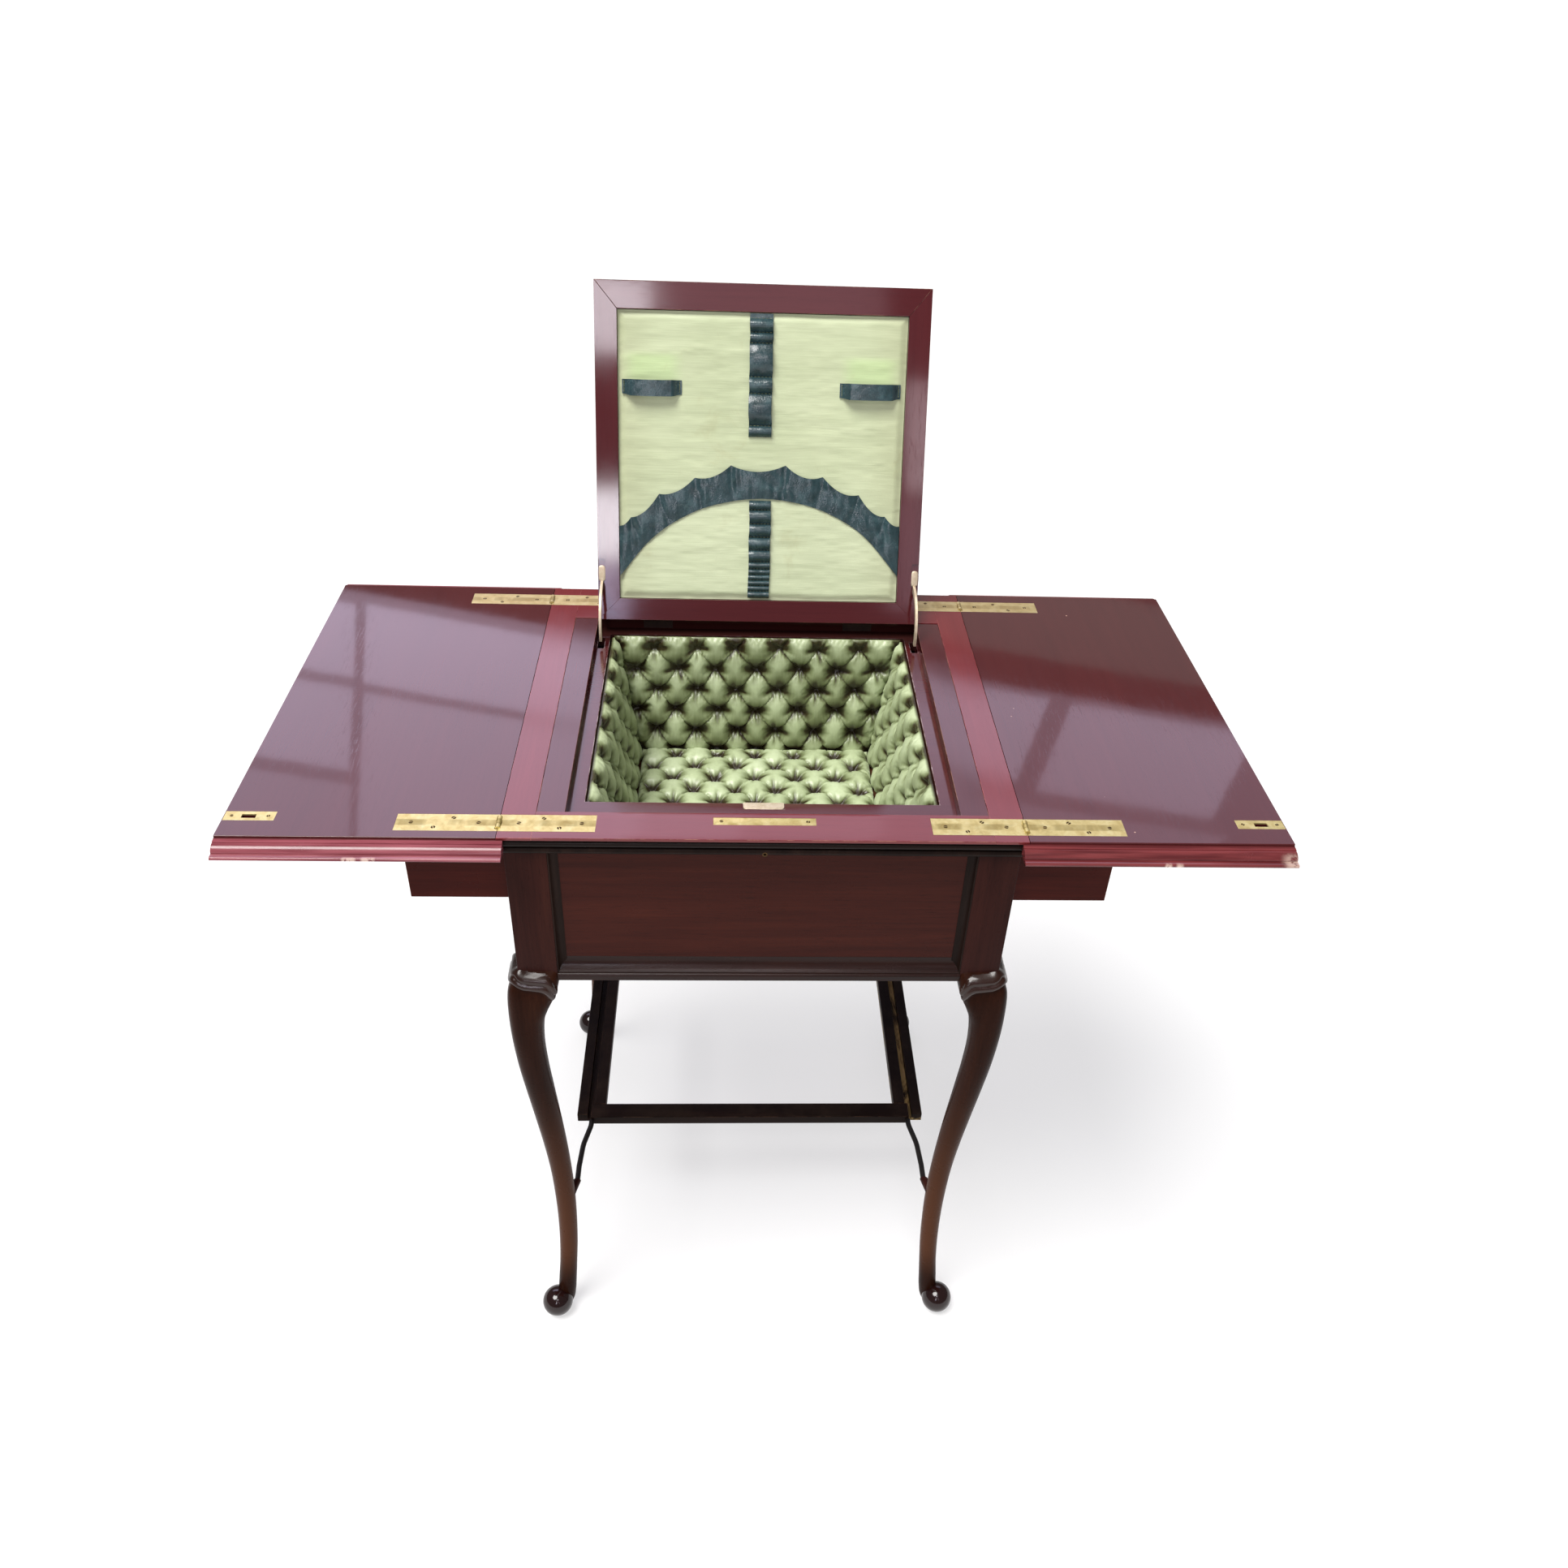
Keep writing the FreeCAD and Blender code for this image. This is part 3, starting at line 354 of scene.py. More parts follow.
# the pink edge colour on the side rails is partly rubbing and partly a painted highlight along the arris
W_RAIL_Y = wood("wood_rail_side", "Y", RAIL_STOPS, 0.085, 0.5, edge_wear_and_glint=srgb(206, 120, 112), edge_wear_and_glint_amount=0.6, extra=edge_painted_shade, **CALM)
W_RAIL_X = wood("wood_rail_cross", "X", RAIL_STOPS, 0.085, 0.5, shift=(0, 0.31, 0), edge_wear_and_glint=PALE, edge_wear_and_glint_amount=0.35, extra=rail_shades, matt=rear_shade_mask, **CALM)
W_SLIP = wood("wood_slips", "Y", TOP_STOPS, 0.085, 0.5, shift=(0.4, 0, 0), edge_wear_and_glint=PALE, edge_wear_and_glint_amount=0.30, extra=rear_shade, matt=rear_shade_mask, **CALM)
# the whitish-lavender edge colour on the rim is partly rubbing and partly a painted reflection of the lights
W_RIM = wood("wood_rim", "X", TOP_STOPS, 0.13, 0.5, shift=(0.2, 0.6, 0), edge_wear_and_glint=srgb(206, 186, 190), edge_wear_and_glint_amount=0.7, extra=rear_shade, matt=rear_shade_mask, **CALM)
W_LID_U = wood("wood_lid_stiles", "Y", LID_STOPS, 0.08, 0.5, lid=True, shift=(0.7, 0, 0), edge_wear_and_glint=PALE, edge_wear_and_glint_amount=0.22, **CALM)
W_LID_X = wood("wood_lid_rails", "X", LID_STOPS, 0.08, 0.5, lid=True, shift=(0, 0.5, 0), edge_wear_and_glint=PALE, edge_wear_and_glint_amount=0.22, **CALM)
W_CASE_X = wood("wood_case_long", "X", CASE_STOPS, 0.30, 0.08, figure=0.8, edge_wear_and_glint=PALE, edge_wear_and_glint_amount=0.2)
W_CASE_Y = wood("wood_case_side", "Y", CASE_STOPS, 0.30, 0.08, figure=0.8, edge_wear_and_glint=PALE, edge_wear_and_glint_amount=0.2)
W_MOULD = wood("wood_mouldings", "X", MOULD_STOPS, 0.26, 0.18, edge_wear_and_glint=srgb(120, 84, 66), edge_wear_and_glint_amount=0.25)
# a near-black copy of the mouldings' wood for the coves and the frieze: painted shade
W_COVE_SHADED = wood("wood_coves_shaded", "Z", COVE_SHADE_STOPS, 0.42, 0.06, edge_wear_and_glint=srgb(96, 76, 66), edge_wear_and_glint_amount=0.3)
# a near-black copy of the wood for the edge of the top below its lip: painted shade
W_EDGE_SHADED = wood("wood_edge_shaded", "X", COVE_SHADE_STOPS, 0.30, 0.10, edge_wear_and_glint=srgb(110, 78, 74), edge_wear_and_glint_amount=0.3)
W_POST = wood("wood_posts", "Z", POST_STOPS, 0.30, 0.06, edge_wear_and_glint=srgb(118, 80, 62), edge_wear_and_glint_amount=0.25)
W_LEG = wood("wood_legs", "Z", LEG_STOPS, 0.28, 0.03, edge_wear_and_glint=srgb(128, 86, 64), edge_wear_and_glint_amount=0.3, extra=paler_shin)
W_KNEE = wood("wood_knees", "Z", LEG_STOPS, 0.25, 0.42, edge_wear_and_glint=srgb(128, 86, 64), edge_wear_and_glint_amount=0.3, **CALM)
W_BALL = wood("wood_balls", "Z", [(a, (c[0] * 0.45, c[1] * 0.5, c[2] * 0.6, 1)) for a, c in POST_STOPS], 0.12, 0.50, edge_wear_and_glint=srgb(128, 86, 64), edge_wear_and_glint_amount=0.3, **CALM)
W_UNDER_Y = wood("wood_under_side", "Y", UNDER_STOPS, 0.42, 0.05, edge_wear_and_glint=srgb(96, 70, 54), edge_wear_and_glint_amount=0.35,
                 dust=(0.12, srgb(96, 80, 66)), extra=channel)
W_UNDER_X = wood("wood_under_cross", "X", UNDER_STOPS, 0.42, 0.05, edge_wear_and_glint=srgb(96, 70, 54), edge_wear_and_glint_amount=0.35,
                 dust=(0.12, srgb(96, 80, 66)))
W_LOPER = wood("wood_lopers", "X", [(a, (c[0] * 1.15, c[1] * 0.85, c[2] * 0.9, 1)) for a, c in CASE_STOPS], 0.30, 0.06, edge_wear_and_glint=PALE, edge_wear_and_glint_amount=0.3)
W_INNER = wood("wood_inner", "Y", INNER_STOPS, 0.6, 0.1, edge_wear_and_glint=None)


def brass(name, dark=0.35, centre=()):
    """Old polished brass: pale yellow with olive tarnish, gathered along a centre streak on the long plates; the plates
    at the back get a painted reflection, duller and darker.
    """
    m = Look(name)
    p = m.coord()
    cloud = m.noise(p, 110.0, 4.0, 0.6, 0.4)
    fine = m.noise(m.vmul(p, (0.15, 1.0, 1.0)), 900.0, 3.0, 0.6)
    base = m.ramp(cloud, [(0.30, srgb(200, 179, 113)), (0.52, srgb(224, 207, 144)), (0.75, srgb(236, 225, 171))])
    tarnish = m.math("MULTIPLY", m.span(m.noise(p, 55.0, 5.0, 0.62, 0.5), 0.50, 0.72), dark)
    for y0 in centre:
        d = m.math("ABSOLUTE", m.math("SUBTRACT", m.sep(p)[1], y0 * MM))
        k = m.math("MULTIPLY", m.span(d, 0.0030, 0.0052, 1.0, 0.0), m.span(m.noise(m.vmul(p, (1.0, 0.3, 1.0)), 48.0, 3.0, 0.6), 0.36, 0.60))
        tarnish = m.math("MAXIMUM", tarnish, m.math("MULTIPLY", k, 0.55))
    # painted reflection: the plates at the back get a duller, darker brass
    rear_dimmed = m.math("MULTIPLY", m.span(m.sep(p)[1], 0.10, 0.15), 0.42)
    col = m.mix(rear_dimmed, m.mix(tarnish, base, srgb(134, 112, 58)), srgb(150, 126, 92))
    m.set(color=col, metal=0.72, rough=m.math("MULTIPLY_ADD", cloud, 0.24, m.math("MULTIPLY_ADD", tarnish, 0.20, 0.30)),
          normal=m.bump(fine, 0.12, 0.0002))
    return m.m


BRASS = brass("brass_plain", 0.35)
BRASS_HINGE = brass("brass_hinge", 0.22, (-205.0, 199.0))


def metal(name, a, b, rough, met):
    m = Look(name)
    p = m.coord()
    k = m.noise(p, 140.0, 5.0, 0.65, 0.3)
    m.set(color=m.ramp(k, [(0.3, a), (0.7, b)]), metal=met, rough=m.math("MULTIPLY_ADD", k, 0.3, rough),
          normal=m.bump(m.noise(p, 700.0, 3.0, 0.6), 0.25, 0.0003))
    return m.m


BRASS_PALE = metal("brass_pale", srgb(200, 180, 150), srgb(228, 214, 192), 0.32, 0.50)
# a near-black brass for the plates in the lid's shadow: painted shade
BRASS_SHADED = metal("brass_shaded", srgb(34, 20, 17), srgb(54, 34, 29), 0.45, 0.35)
BRASS_DARK = metal("brass_dark", srgb(52, 38, 22), srgb(96, 72, 40), 0.36, 0.85)
STEEL = metal("lock_steel", srgb(96, 92, 86), srgb(150, 146, 138), 0.32, 0.95)
IRON = metal("black_iron", srgb(14, 12, 12), srgb(38, 33, 31), 0.38, 0.55)


def satin(name):
    """Faded sage satin, darkened by a painted-shade attribute: pale on the crests, olive to near black in the tucks and
    pits, with a random tone per pillow and a weft that pulls the light out sideways.
    """
    m = Look(name)
    p = m.coord()
    deep = m.attr("depth")
    cloud = m.noise(p, 28.0, 4.0, 0.6, 0.4)
    slub = m.noise(m.vmul(p, (1.0, 1.0, 0.12)), 320.0, 2.0, 0.6)
    f = m.math("MULTIPLY_ADD", m.math("SUBTRACT", cloud, 0.5), 0.26, m.math("SUBTRACT", 0.70, m.math("MULTIPLY", deep, 0.66)))
    f = m.math("MULTIPLY_ADD", m.math("SUBTRACT", slub, 0.5), 0.14, f)
    col = m.ramp(f, [(0.00, srgb(34, 22, 9)), (0.14, srgb(58, 52, 26)), (0.34, srgb(122, 132, 92)), (0.60, srgb(182, 195, 154)), (0.85, srgb(212, 224, 188))])
    weave = m.n("ShaderNodeTexWave", wave_type="BANDS", bands_direction="DIAGONAL")
    m.put(weave.inputs["Vector"], p)
    weave.inputs["Scale"].default_value = 420.0
    weave.inputs["Distortion"].default_value = 1.5
    h = m.math("MULTIPLY_ADD", weave.outputs["Fac"], 0.4, m.noise(p, 180.0, 4.0, 0.6))
    m.set(color=col, rough=m.math("MULTIPLY_ADD", cloud, 0.12, 0.27), spec=0.55, sheen=0.15, sheen_rough=0.4,
          sheen_tint=srgb(226, 236, 190), normal=m.bump(h, 0.16, 0.0004))
    return m.m


def silk(name):
    """Pale yellow-green silk with horizontal threads, drag marks and unfaded places above the loops; painted light
    makes it paler low down and painted shade greyer towards the sides.
    """
    m = Look(name)
    p = m.coord()
    o = m.sep(p)
    thread = m.noise(m.vmul(p, (0.04, 1.0, 1.0)), 760.0, 3.0, 0.65)
    drag = m.noise(m.vmul(p, (0.10, 1.0, 1.0)), 62.0, 4.0, 0.6, 0.5)
    cloud = m.noise(p, 14.0, 3.0, 0.55, 0.2)
    f = m.math("MULTIPLY_ADD", m.math("SUBTRACT", drag, 0.5), 0.35, m.math("MULTIPLY_ADD", cloud, 0.5, 0.25))
    f = m.math("MULTIPLY_ADD", m.math("SUBTRACT", thread, 0.5), 0.22, f)
    col = m.ramp(f, [(0.20, srgb(168, 176, 140)), (0.42, srgb(188, 198, 160)), (0.60, srgb(199, 208, 171)), (0.85, srgb(212, 220, 187))])
    # painted light: paler towards the bottom of the lining; painted shade: darker and greyer towards its sides
    col = m.mix(m.span(o[2], 0.80, 0.90, 0.42, 0.0), col, srgb(216, 225, 191))
    col = m.mix(m.span(m.math("ABSOLUTE", o[0]), 0.100, 0.150, 0.0, 0.32), col, srgb(166, 168, 130))
    for side in (-115.0, 113.0):
        dx = m.math("ABSOLUTE", m.math("SUBTRACT", o[0], side * MM))
        dz = m.math("ABSOLUTE", m.math("SUBTRACT", o[2], 0.9740))
        k = m.math("MULTIPLY", m.span(dx, 0.014, 0.036, 1.0, 0.0), m.span(dz, 0.008, 0.017, 1.0, 0.0))
        col = m.mix(m.math("MULTIPLY", k, 0.50), col, srgb(190, 219, 152))
    stain = m.span(m.noise(m.vadd(p, (1.3, 0, 0.8)), 20.0, 5.0, 0.65, 0.6), 0.58, 0.74)
    col = m.mix(m.math("MULTIPLY", stain, 0.22), col, srgb(160, 152, 100))
    m.set(color=col, rough=m.math("MULTIPLY_ADD", drag, 0.14, 0.40), spec=0.4, sheen=0.3, sheen_rough=0.4,
          normal=m.bump(m.math("MULTIPLY_ADD", drag, 3.0, thread), 0.38, 0.0005))
    return m.m


def leather(name):
    m = Look(name)
    p = m.coord()
    cell = m.voronoi(p, 620.0)
    cloud = m.noise(p, 70.0, 4.0, 0.65, 0.3)
    wear = m.span(m.noise(p, 150.0, 5.0, 0.7, 0.5), 0.52, 0.74)
    col = m.ramp(cloud, [(0.25, srgb(26, 44, 47)), (0.55, srgb(43, 67, 72)), (0.80, srgb(66, 94, 98))])
    col = m.mix(m.math("MULTIPLY", wear, 0.25), col, srgb(92, 106, 100))
    m.set(color=col, rough=m.math("MULTIPLY_ADD", cloud, 0.2, 0.16), spec=0.58,
          normal=m.bump(m.math("MULTIPLY_ADD", cell, 0.5, cloud), 0.35, 0.0006))
    return m.m


SATIN = satin("green_satin")
SILK = silk("lid_silk")
LEATHER = leather("dark_leather")


def thread(name, a, b):
    m = Look(name)
    p = m.coord()
    k = m.noise(p, 420.0, 3.0, 0.6)
    m.set(color=m.ramp(k, [(0.3, a), (0.7, b)]), rough=0.6, normal=m.bump(k, 0.4, 0.0003))
    return m.m


THREAD = thread("lid_thread", srgb(58, 66, 50), srgb(120, 128, 92))


# ------------------------------------------------------------------ mesh helpers
def new_object(name, me, mat, body, nodes=()):
    o = bpy.data.objects.new(name, me)
    scene.collection.objects.link(o)
    me.materials.clear()
    me.materials.append(mat)
    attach(o, body)
    if nodes:
        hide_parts(*nodes)
    return o


def finish_mesh(bm, name, sharp=35.0):
    """Outward normals, smooth faces, and sharp edges only where the surface really turns."""
    bmesh.ops.recalc_face_normals(bm, faces=bm.faces)
    lim = math.radians(sharp)
    for f in bm.faces:
        f.smooth = True
    for e in bm.edges:
        e.smooth = len(e.link_faces) == 2 and e.calc_face_angle(0.0) < lim
    me = bpy.data.meshes.new(name)
    bm.to_mesh(me)
    bm.free()
    return me


def hold_flats(me, sharp=40.0):
    """Give the eased edges normals that run out of the flat faces beside them, so that the flats stay flat to the eye."""
    lim = math.cos(math.radians(sharp))
    npoly, nloop = len(me.polygons), len(me.loops)
    nor, area, vert = np.zeros(npoly * 3), np.zeros(npoly), np.zeros(nloop, int)
    me.polygons.foreach_get("normal", nor)
    me.polygons.foreach_get("area", area)
    me.loops.foreach_get("vertex_index", vert)
    nor = nor.reshape(-1, 3)
    total = np.zeros(npoly, int)
    me.polygons.foreach_get("loop_total", total)
    face = np.repeat(np.arange(npoly), total)
    order = np.argsort(vert, kind="stable")
    out = np.zeros((nloop, 3))
    cuts = np.flatnonzero(np.diff(vert[order])) + 1
    for run in np.split(order, cuts):
        n = nor[face[run]]
        w = (n @ n.T > lim) * area[face[run]][None, :]
        out[run] = w @ n
    out /= np.maximum(np.linalg.norm(out, axis=1), 1e-12)[:, None]
    me.normals_split_custom_set(out.tolist())


def node_bmesh(node):
    """The construction's mesh, joined along its seams and with its flat faces in one piece."""
    src = NODES[node].data
    co = np.zeros(len(src.vertices) * 3)
    src.vertices.foreach_get("co", co)
    tmp = bpy.data.meshes.new("tmp")
    tmp.from_pydata(co.reshape(-1, 3).tolist(), [], [list(p.vertices) for p in src.polygons])
    bm = bmesh.new()
    bm.from_mesh(tmp)
    bpy.data.meshes.remove(tmp)
    bmesh.ops.remove_doubles(bm, verts=bm.verts, dist=4e-6)
    bmesh.ops.dissolve_limit(bm, angle_limit=math.radians(0.3), verts=bm.verts, edges=bm.edges)
    return bm


def refined(node, width, mat, body, seg=2, angle=30.0, keep=None, sharp=40.0, name=None):
    """A node with its hard edges eased by width mm; keep(mid) tells which edges are eased."""
    bm = node_bmesh(node)
    lay = bm.loops.layers.float.new("edge")
    lim = math.radians(angle)
    short = width * MM * 2.2
    edges = []
    for e in bm.edges:
        if len(e.link_faces) != 2 or e.calc_face_angle(0.0) < lim or e.calc_length() < short:
            continue
        mid = (e.verts[0].co + e.verts[1].co) / 2
        if keep is None or keep(mid, e):
            edges.append(e)
    old = set(bm.faces)
    if edges:
        r = bmesh.ops.bevel(bm, geom=edges, offset=width * MM, offset_type="OFFSET", segments=seg, profile=0.5,
                            affect="EDGES", clamp_overlap=True)
        for f in r["faces"]:
            for lp in f.loops:
                lp[lay] = 1.0
    bmesh.ops.triangulate(bm, faces=[f for f in bm.faces if len(f.verts) > 4])
    me = finish_mesh(bm, node + "_eased", sharp)
    hold_flats(me, sharp)
    return new_object(name or node + ".eased", me, mat, body, (node,))


def grid_faces(nu, nv, base=0, flip=False):
    i, j = np.meshgrid(np.arange(nu - 1), np.arange(nv - 1), indexing="ij")
    a = base + i * nv + j
    q = np.stack([a, a + nv, a + nv + 1, a + 1], -1).reshape(-1, 4)
    return q[:, ::-1] if flip else q


def solid_grid(top, bot):
    """A closed slab between two grids of the same shape, in metres."""
    nu, nv = top.shape[:2]
    n = nu * nv
    f = [grid_faces(nu, nv), grid_faces(nu, nv, n, True)]
    ring = [i * nv for i in range(nu)] + [(nu - 1) * nv + j for j in range(1, nv)]
    ring += [i * nv + nv - 1 for i in range(nu - 2, -1, -1)] + [j for j in range(nv - 2, 0, -1)]
    ring = np.array(ring)
    nxt = np.roll(ring, -1)
    f.append(np.stack([ring, ring + n, nxt + n, nxt], -1))
    v = np.concatenate([top.reshape(-1, 3), bot.reshape(-1, 3)])
    return v, np.concatenate(f)


def from_arrays(name, v, f, sharp=50.0, point=None):
    me = bpy.data.meshes.new(name)
    me.from_pydata(v.tolist(), [], f.tolist())
    bm = bmesh.new()
    bm.from_mesh(me)
    bpy.data.meshes.remove(me)
    me = finish_mesh(bm, name, sharp)
    if point:
        for k, val in point.items():
            a = me.attributes.new(k, "FLOAT", "POINT")
            a.data.foreach_set("value", np.asarray(val, np.float32))
    return me


def smooth01(x):
    x = np.clip(x, 0, 1)
    return x * x * (3 - 2 * x)


def lid_point(x, u, w):
    """Lining coordinates to the row frame: u from the hinge line, w out from the lining's face; mm in, metres out."""
    x, u, w = np.broadcast_arrays(np.asarray(x, float), np.asarray(u, float), np.asarray(w, float))
    dy, dz = -u, (SILK_Z - w) - LID_Z
    c, s = math.cos(LID_OPEN), math.sin(LID_OPEN)
    return np.stack([x, LID_Y + dy * c - dz * s, LID_Z + dy * s + dz * c], -1) * MM


def value_noise(x, y, seed, scale):
    """Smooth lattice noise in -1..1."""
    g = np.random.default_rng(seed).uniform(-1, 1, (64, 64))
    a, b = np.asarray(x) / scale, np.asarray(y) / scale
    i, j = np.floor(a).astype(int), np.floor(b).astype(int)
    fa, fb = smooth01(a - i), smooth01(b - j)
    at = lambda p, q: g[np.mod(p, 64), np.mod(q, 64)]
    return (at(i, j) * (1 - fa) + at(i + 1, j) * fa) * (1 - fb) + (at(i, j + 1) * (1 - fa) + at(i + 1, j + 1) * fa) * fb


# ------------------------------------------------------------------ top, leaves and case
for side in ("left", "right"):
    o = refined("leaf_board_" + side, 0.55, W_LEAF_L if side == "left" else W_LEAF_R, "leaf_" + side)
    o.data.materials.append(W_STRIP_L if side == "left" else W_STRIP_R)
    for poly in o.data.polygons:                         # the moulded strip is less polished than the top
        if abs(poly.center.y) > 0.2272 and poly.normal.z < 0.97:
            poly.material_index = 1
    refined("top_rail_" + side, 0.9, W_RAIL_Y, "case")
refined("top_rail_front", 0.6, W_RAIL_X, "case")
refined("top_rail_rear", 0.6, W_RAIL_X, "case")
for n in ("front", "rear", "left", "right"):
    o = bpy.data.objects["top_rail_" + n + ".eased"]
    o.data.materials.append(W_EDGE_SHADED)
    for poly in o.data.polygons:                         # below its lip the edge of the top gets a near-black copy of the wood: painted shade
        if abs(poly.center.y) > 0.2212 and poly.center.z < 0.7223:
            poly.material_index = 1
refined("top_slips", 0.5, W_SLIP, "case")
mould = refined("case_mouldings", 0.3, W_MOULD, "case")
mould.data.materials.append(W_COVE_SHADED)
for poly in mould.data.polygons:                         # painted shade: the outer half of each cove beside the panels, and the frieze under the top, get a near-black copy of the wood
    c = poly.center
    ax, ay = abs(c.x), abs(c.y)
    if c.z > 0.7046 or 0.570 < c.z < 0.7045 and (0.1800 < ax < 0.1895 and ay > 0.2125 or 0.1670 < ay < 0.1765 and ax > 0.2175):
        poly.material_index = 1
refined("lid_stile_left", 0.7, W_LID_U, "lid")
refined("lid_stile_right", 0.7, W_LID_U, "lid")
refined("lid_rail_front", 0.7, W_LID_X, "lid")
refined("lid_rail_rear", 0.7, W_LID_X, "lid")
refined("lid_panel", 0.2, W_LID_X, "lid")
refined("well_rim", 0.6, W_RIM, "case")
refined("stretcher_side_left", 0.6, W_UNDER_Y, "case")
refined("stretcher_side_right", 0.6, W_UNDER_Y, "case")
refined("stretcher_front_bar", 0.6, W_UNDER_X, "case")
refined("stretcher_rear_bar", 0.6, W_UNDER_X, "case")
refined("bottom_board", 0.6, W_INNER, "case")
for k, b in (("front_left", "fl"), ("front_right", "fr"), ("rear_left", "rl"), ("rear_right", "rr")):
    refined("loper_" + k, 0.7, W_LOPER, "loper_" + b)
fixed = refined("hinge_plates_fixed", 0.2, BRASS_HINGE, "case")
fixed.data.materials.append(BRASS_SHADED)                  # the butt plates behind the lid get the near-black brass: painted shade
for poly in fixed.data.polygons:
    if abs(poly.center.x) < 0.146 and 0.14 < poly.center.y < 0.18:
        poly.material_index = 1
refined("leaf_hinge_plates_left", 0.2, BRASS_HINGE, "leaf_left")
refined("leaf_hinge_plates_right", 0.2, BRASS_HINGE, "leaf_right")
# painted shade: the lid's hinge plates get the near-black brass
refined("lid_hinge_plates", 0.2, BRASS_SHADED, "lid")
refined("strike_plate_left", 0.25, BRASS, "leaf_left")
refined("strike_plate_right", 0.25, BRASS, "leaf_right")

KEPT = {"panel_front": W_CASE_X, "panel_rear": W_CASE_X, "panel_left": W_CASE_Y, "panel_right": W_CASE_Y,
        "keyhole_escutcheon": BRASS_DARK, "hinge_pins": BRASS, "lock_body": STEEL, "lock_bolt": STEEL,
        "loper_runners": W_INNER, "well_floor": W_INNER, "well_wall_front": W_INNER, "well_wall_rear": W_INNER,
        "well_wall_left": W_INNER, "well_wall_right": W_INNER, "iron_rod_left": IRON, "iron_rod_right": IRON}
for n, mat in KEPT.items():
    NODES[n].data.materials.clear()
    NODES[n].data.materials.append(mat)


# ------------------------------------------------------------------ legs
LEG = [  # height, centre, outer half, inner half, squareness
    (574, 207.5, 17.6, 17.6, 9.0), (568, 207.7, 18.6, 18.4, 8.0), (561, 208.6, 20.6, 20.0, 6.6), (553, 210.6, 22.6, 22.4, 5.4),
    (544, 213.2, 23.2, 23.8, 4.7), (535, 215.4, 22.6, 23.8, 4.1), (526, 217.6, 21.2, 22.4, 3.6), (514, 220.2, 19.0, 19.8, 3.1),
    (500, 222.4, 16.9, 17.2, 2.7), (485, 223.3, 15.8, 15.9, 2.5), (470, 223.4, 15.2, 15.2, 2.35), (430, 221.8, 14.4, 14.4, 2.2),
    (390, 218.8, 13.8, 13.8, 2.1), (345, 215.2, 13.0, 13.0, 2.05), (300, 211.8, 12.2, 12.2, 2.0), (250, 208.9, 11.3, 11.3, 2.0),
    (200, 207.5, 10.9, 10.9, 2.0), (150, 207.7, 10.4, 10.4, 2.0), (110, 209.0, 10.1, 10.1, 2.0), (75, 211.2, 9.9, 9.9, 2.0),
    (46, 213.6, 10.2, 10.2, 2.0), (26, 215.2, 10.2, 10.2, 2.0), (12, 216.4, 9.2, 9.2, 2.0), (3, 217.0, 6.5, 6.5, 2.0)]


def spline(x, xs, ys):
    """Monotone-ish cubic through the points (xs rising)."""
    xs, ys = np.asarray(xs, float), np.asarray(ys, float)
    h = np.diff(xs)
    d = np.diff(ys) / h
    m = np.empty_like(ys)
    m[1:-1] = (d[:-1] * h[1:] + d[1:] * h[:-1]) / (h[1:] + h[:-1])
    m[0], m[-1] = d[0], d[-1]
    i = np.clip(np.searchsorted(xs, x) - 1, 0, len(xs) - 2)
    t = (np.asarray(x) - xs[i]) / h[i]
    a, b = 2 * t ** 3 - 3 * t ** 2 + 1, t ** 3 - 2 * t ** 2 + t
    return a * ys[i] + b * h[i] * m[i] + (3 * t ** 2 - 2 * t ** 3) * ys[i + 1] + (t ** 3 - t ** 2) * h[i] * m[i + 1]


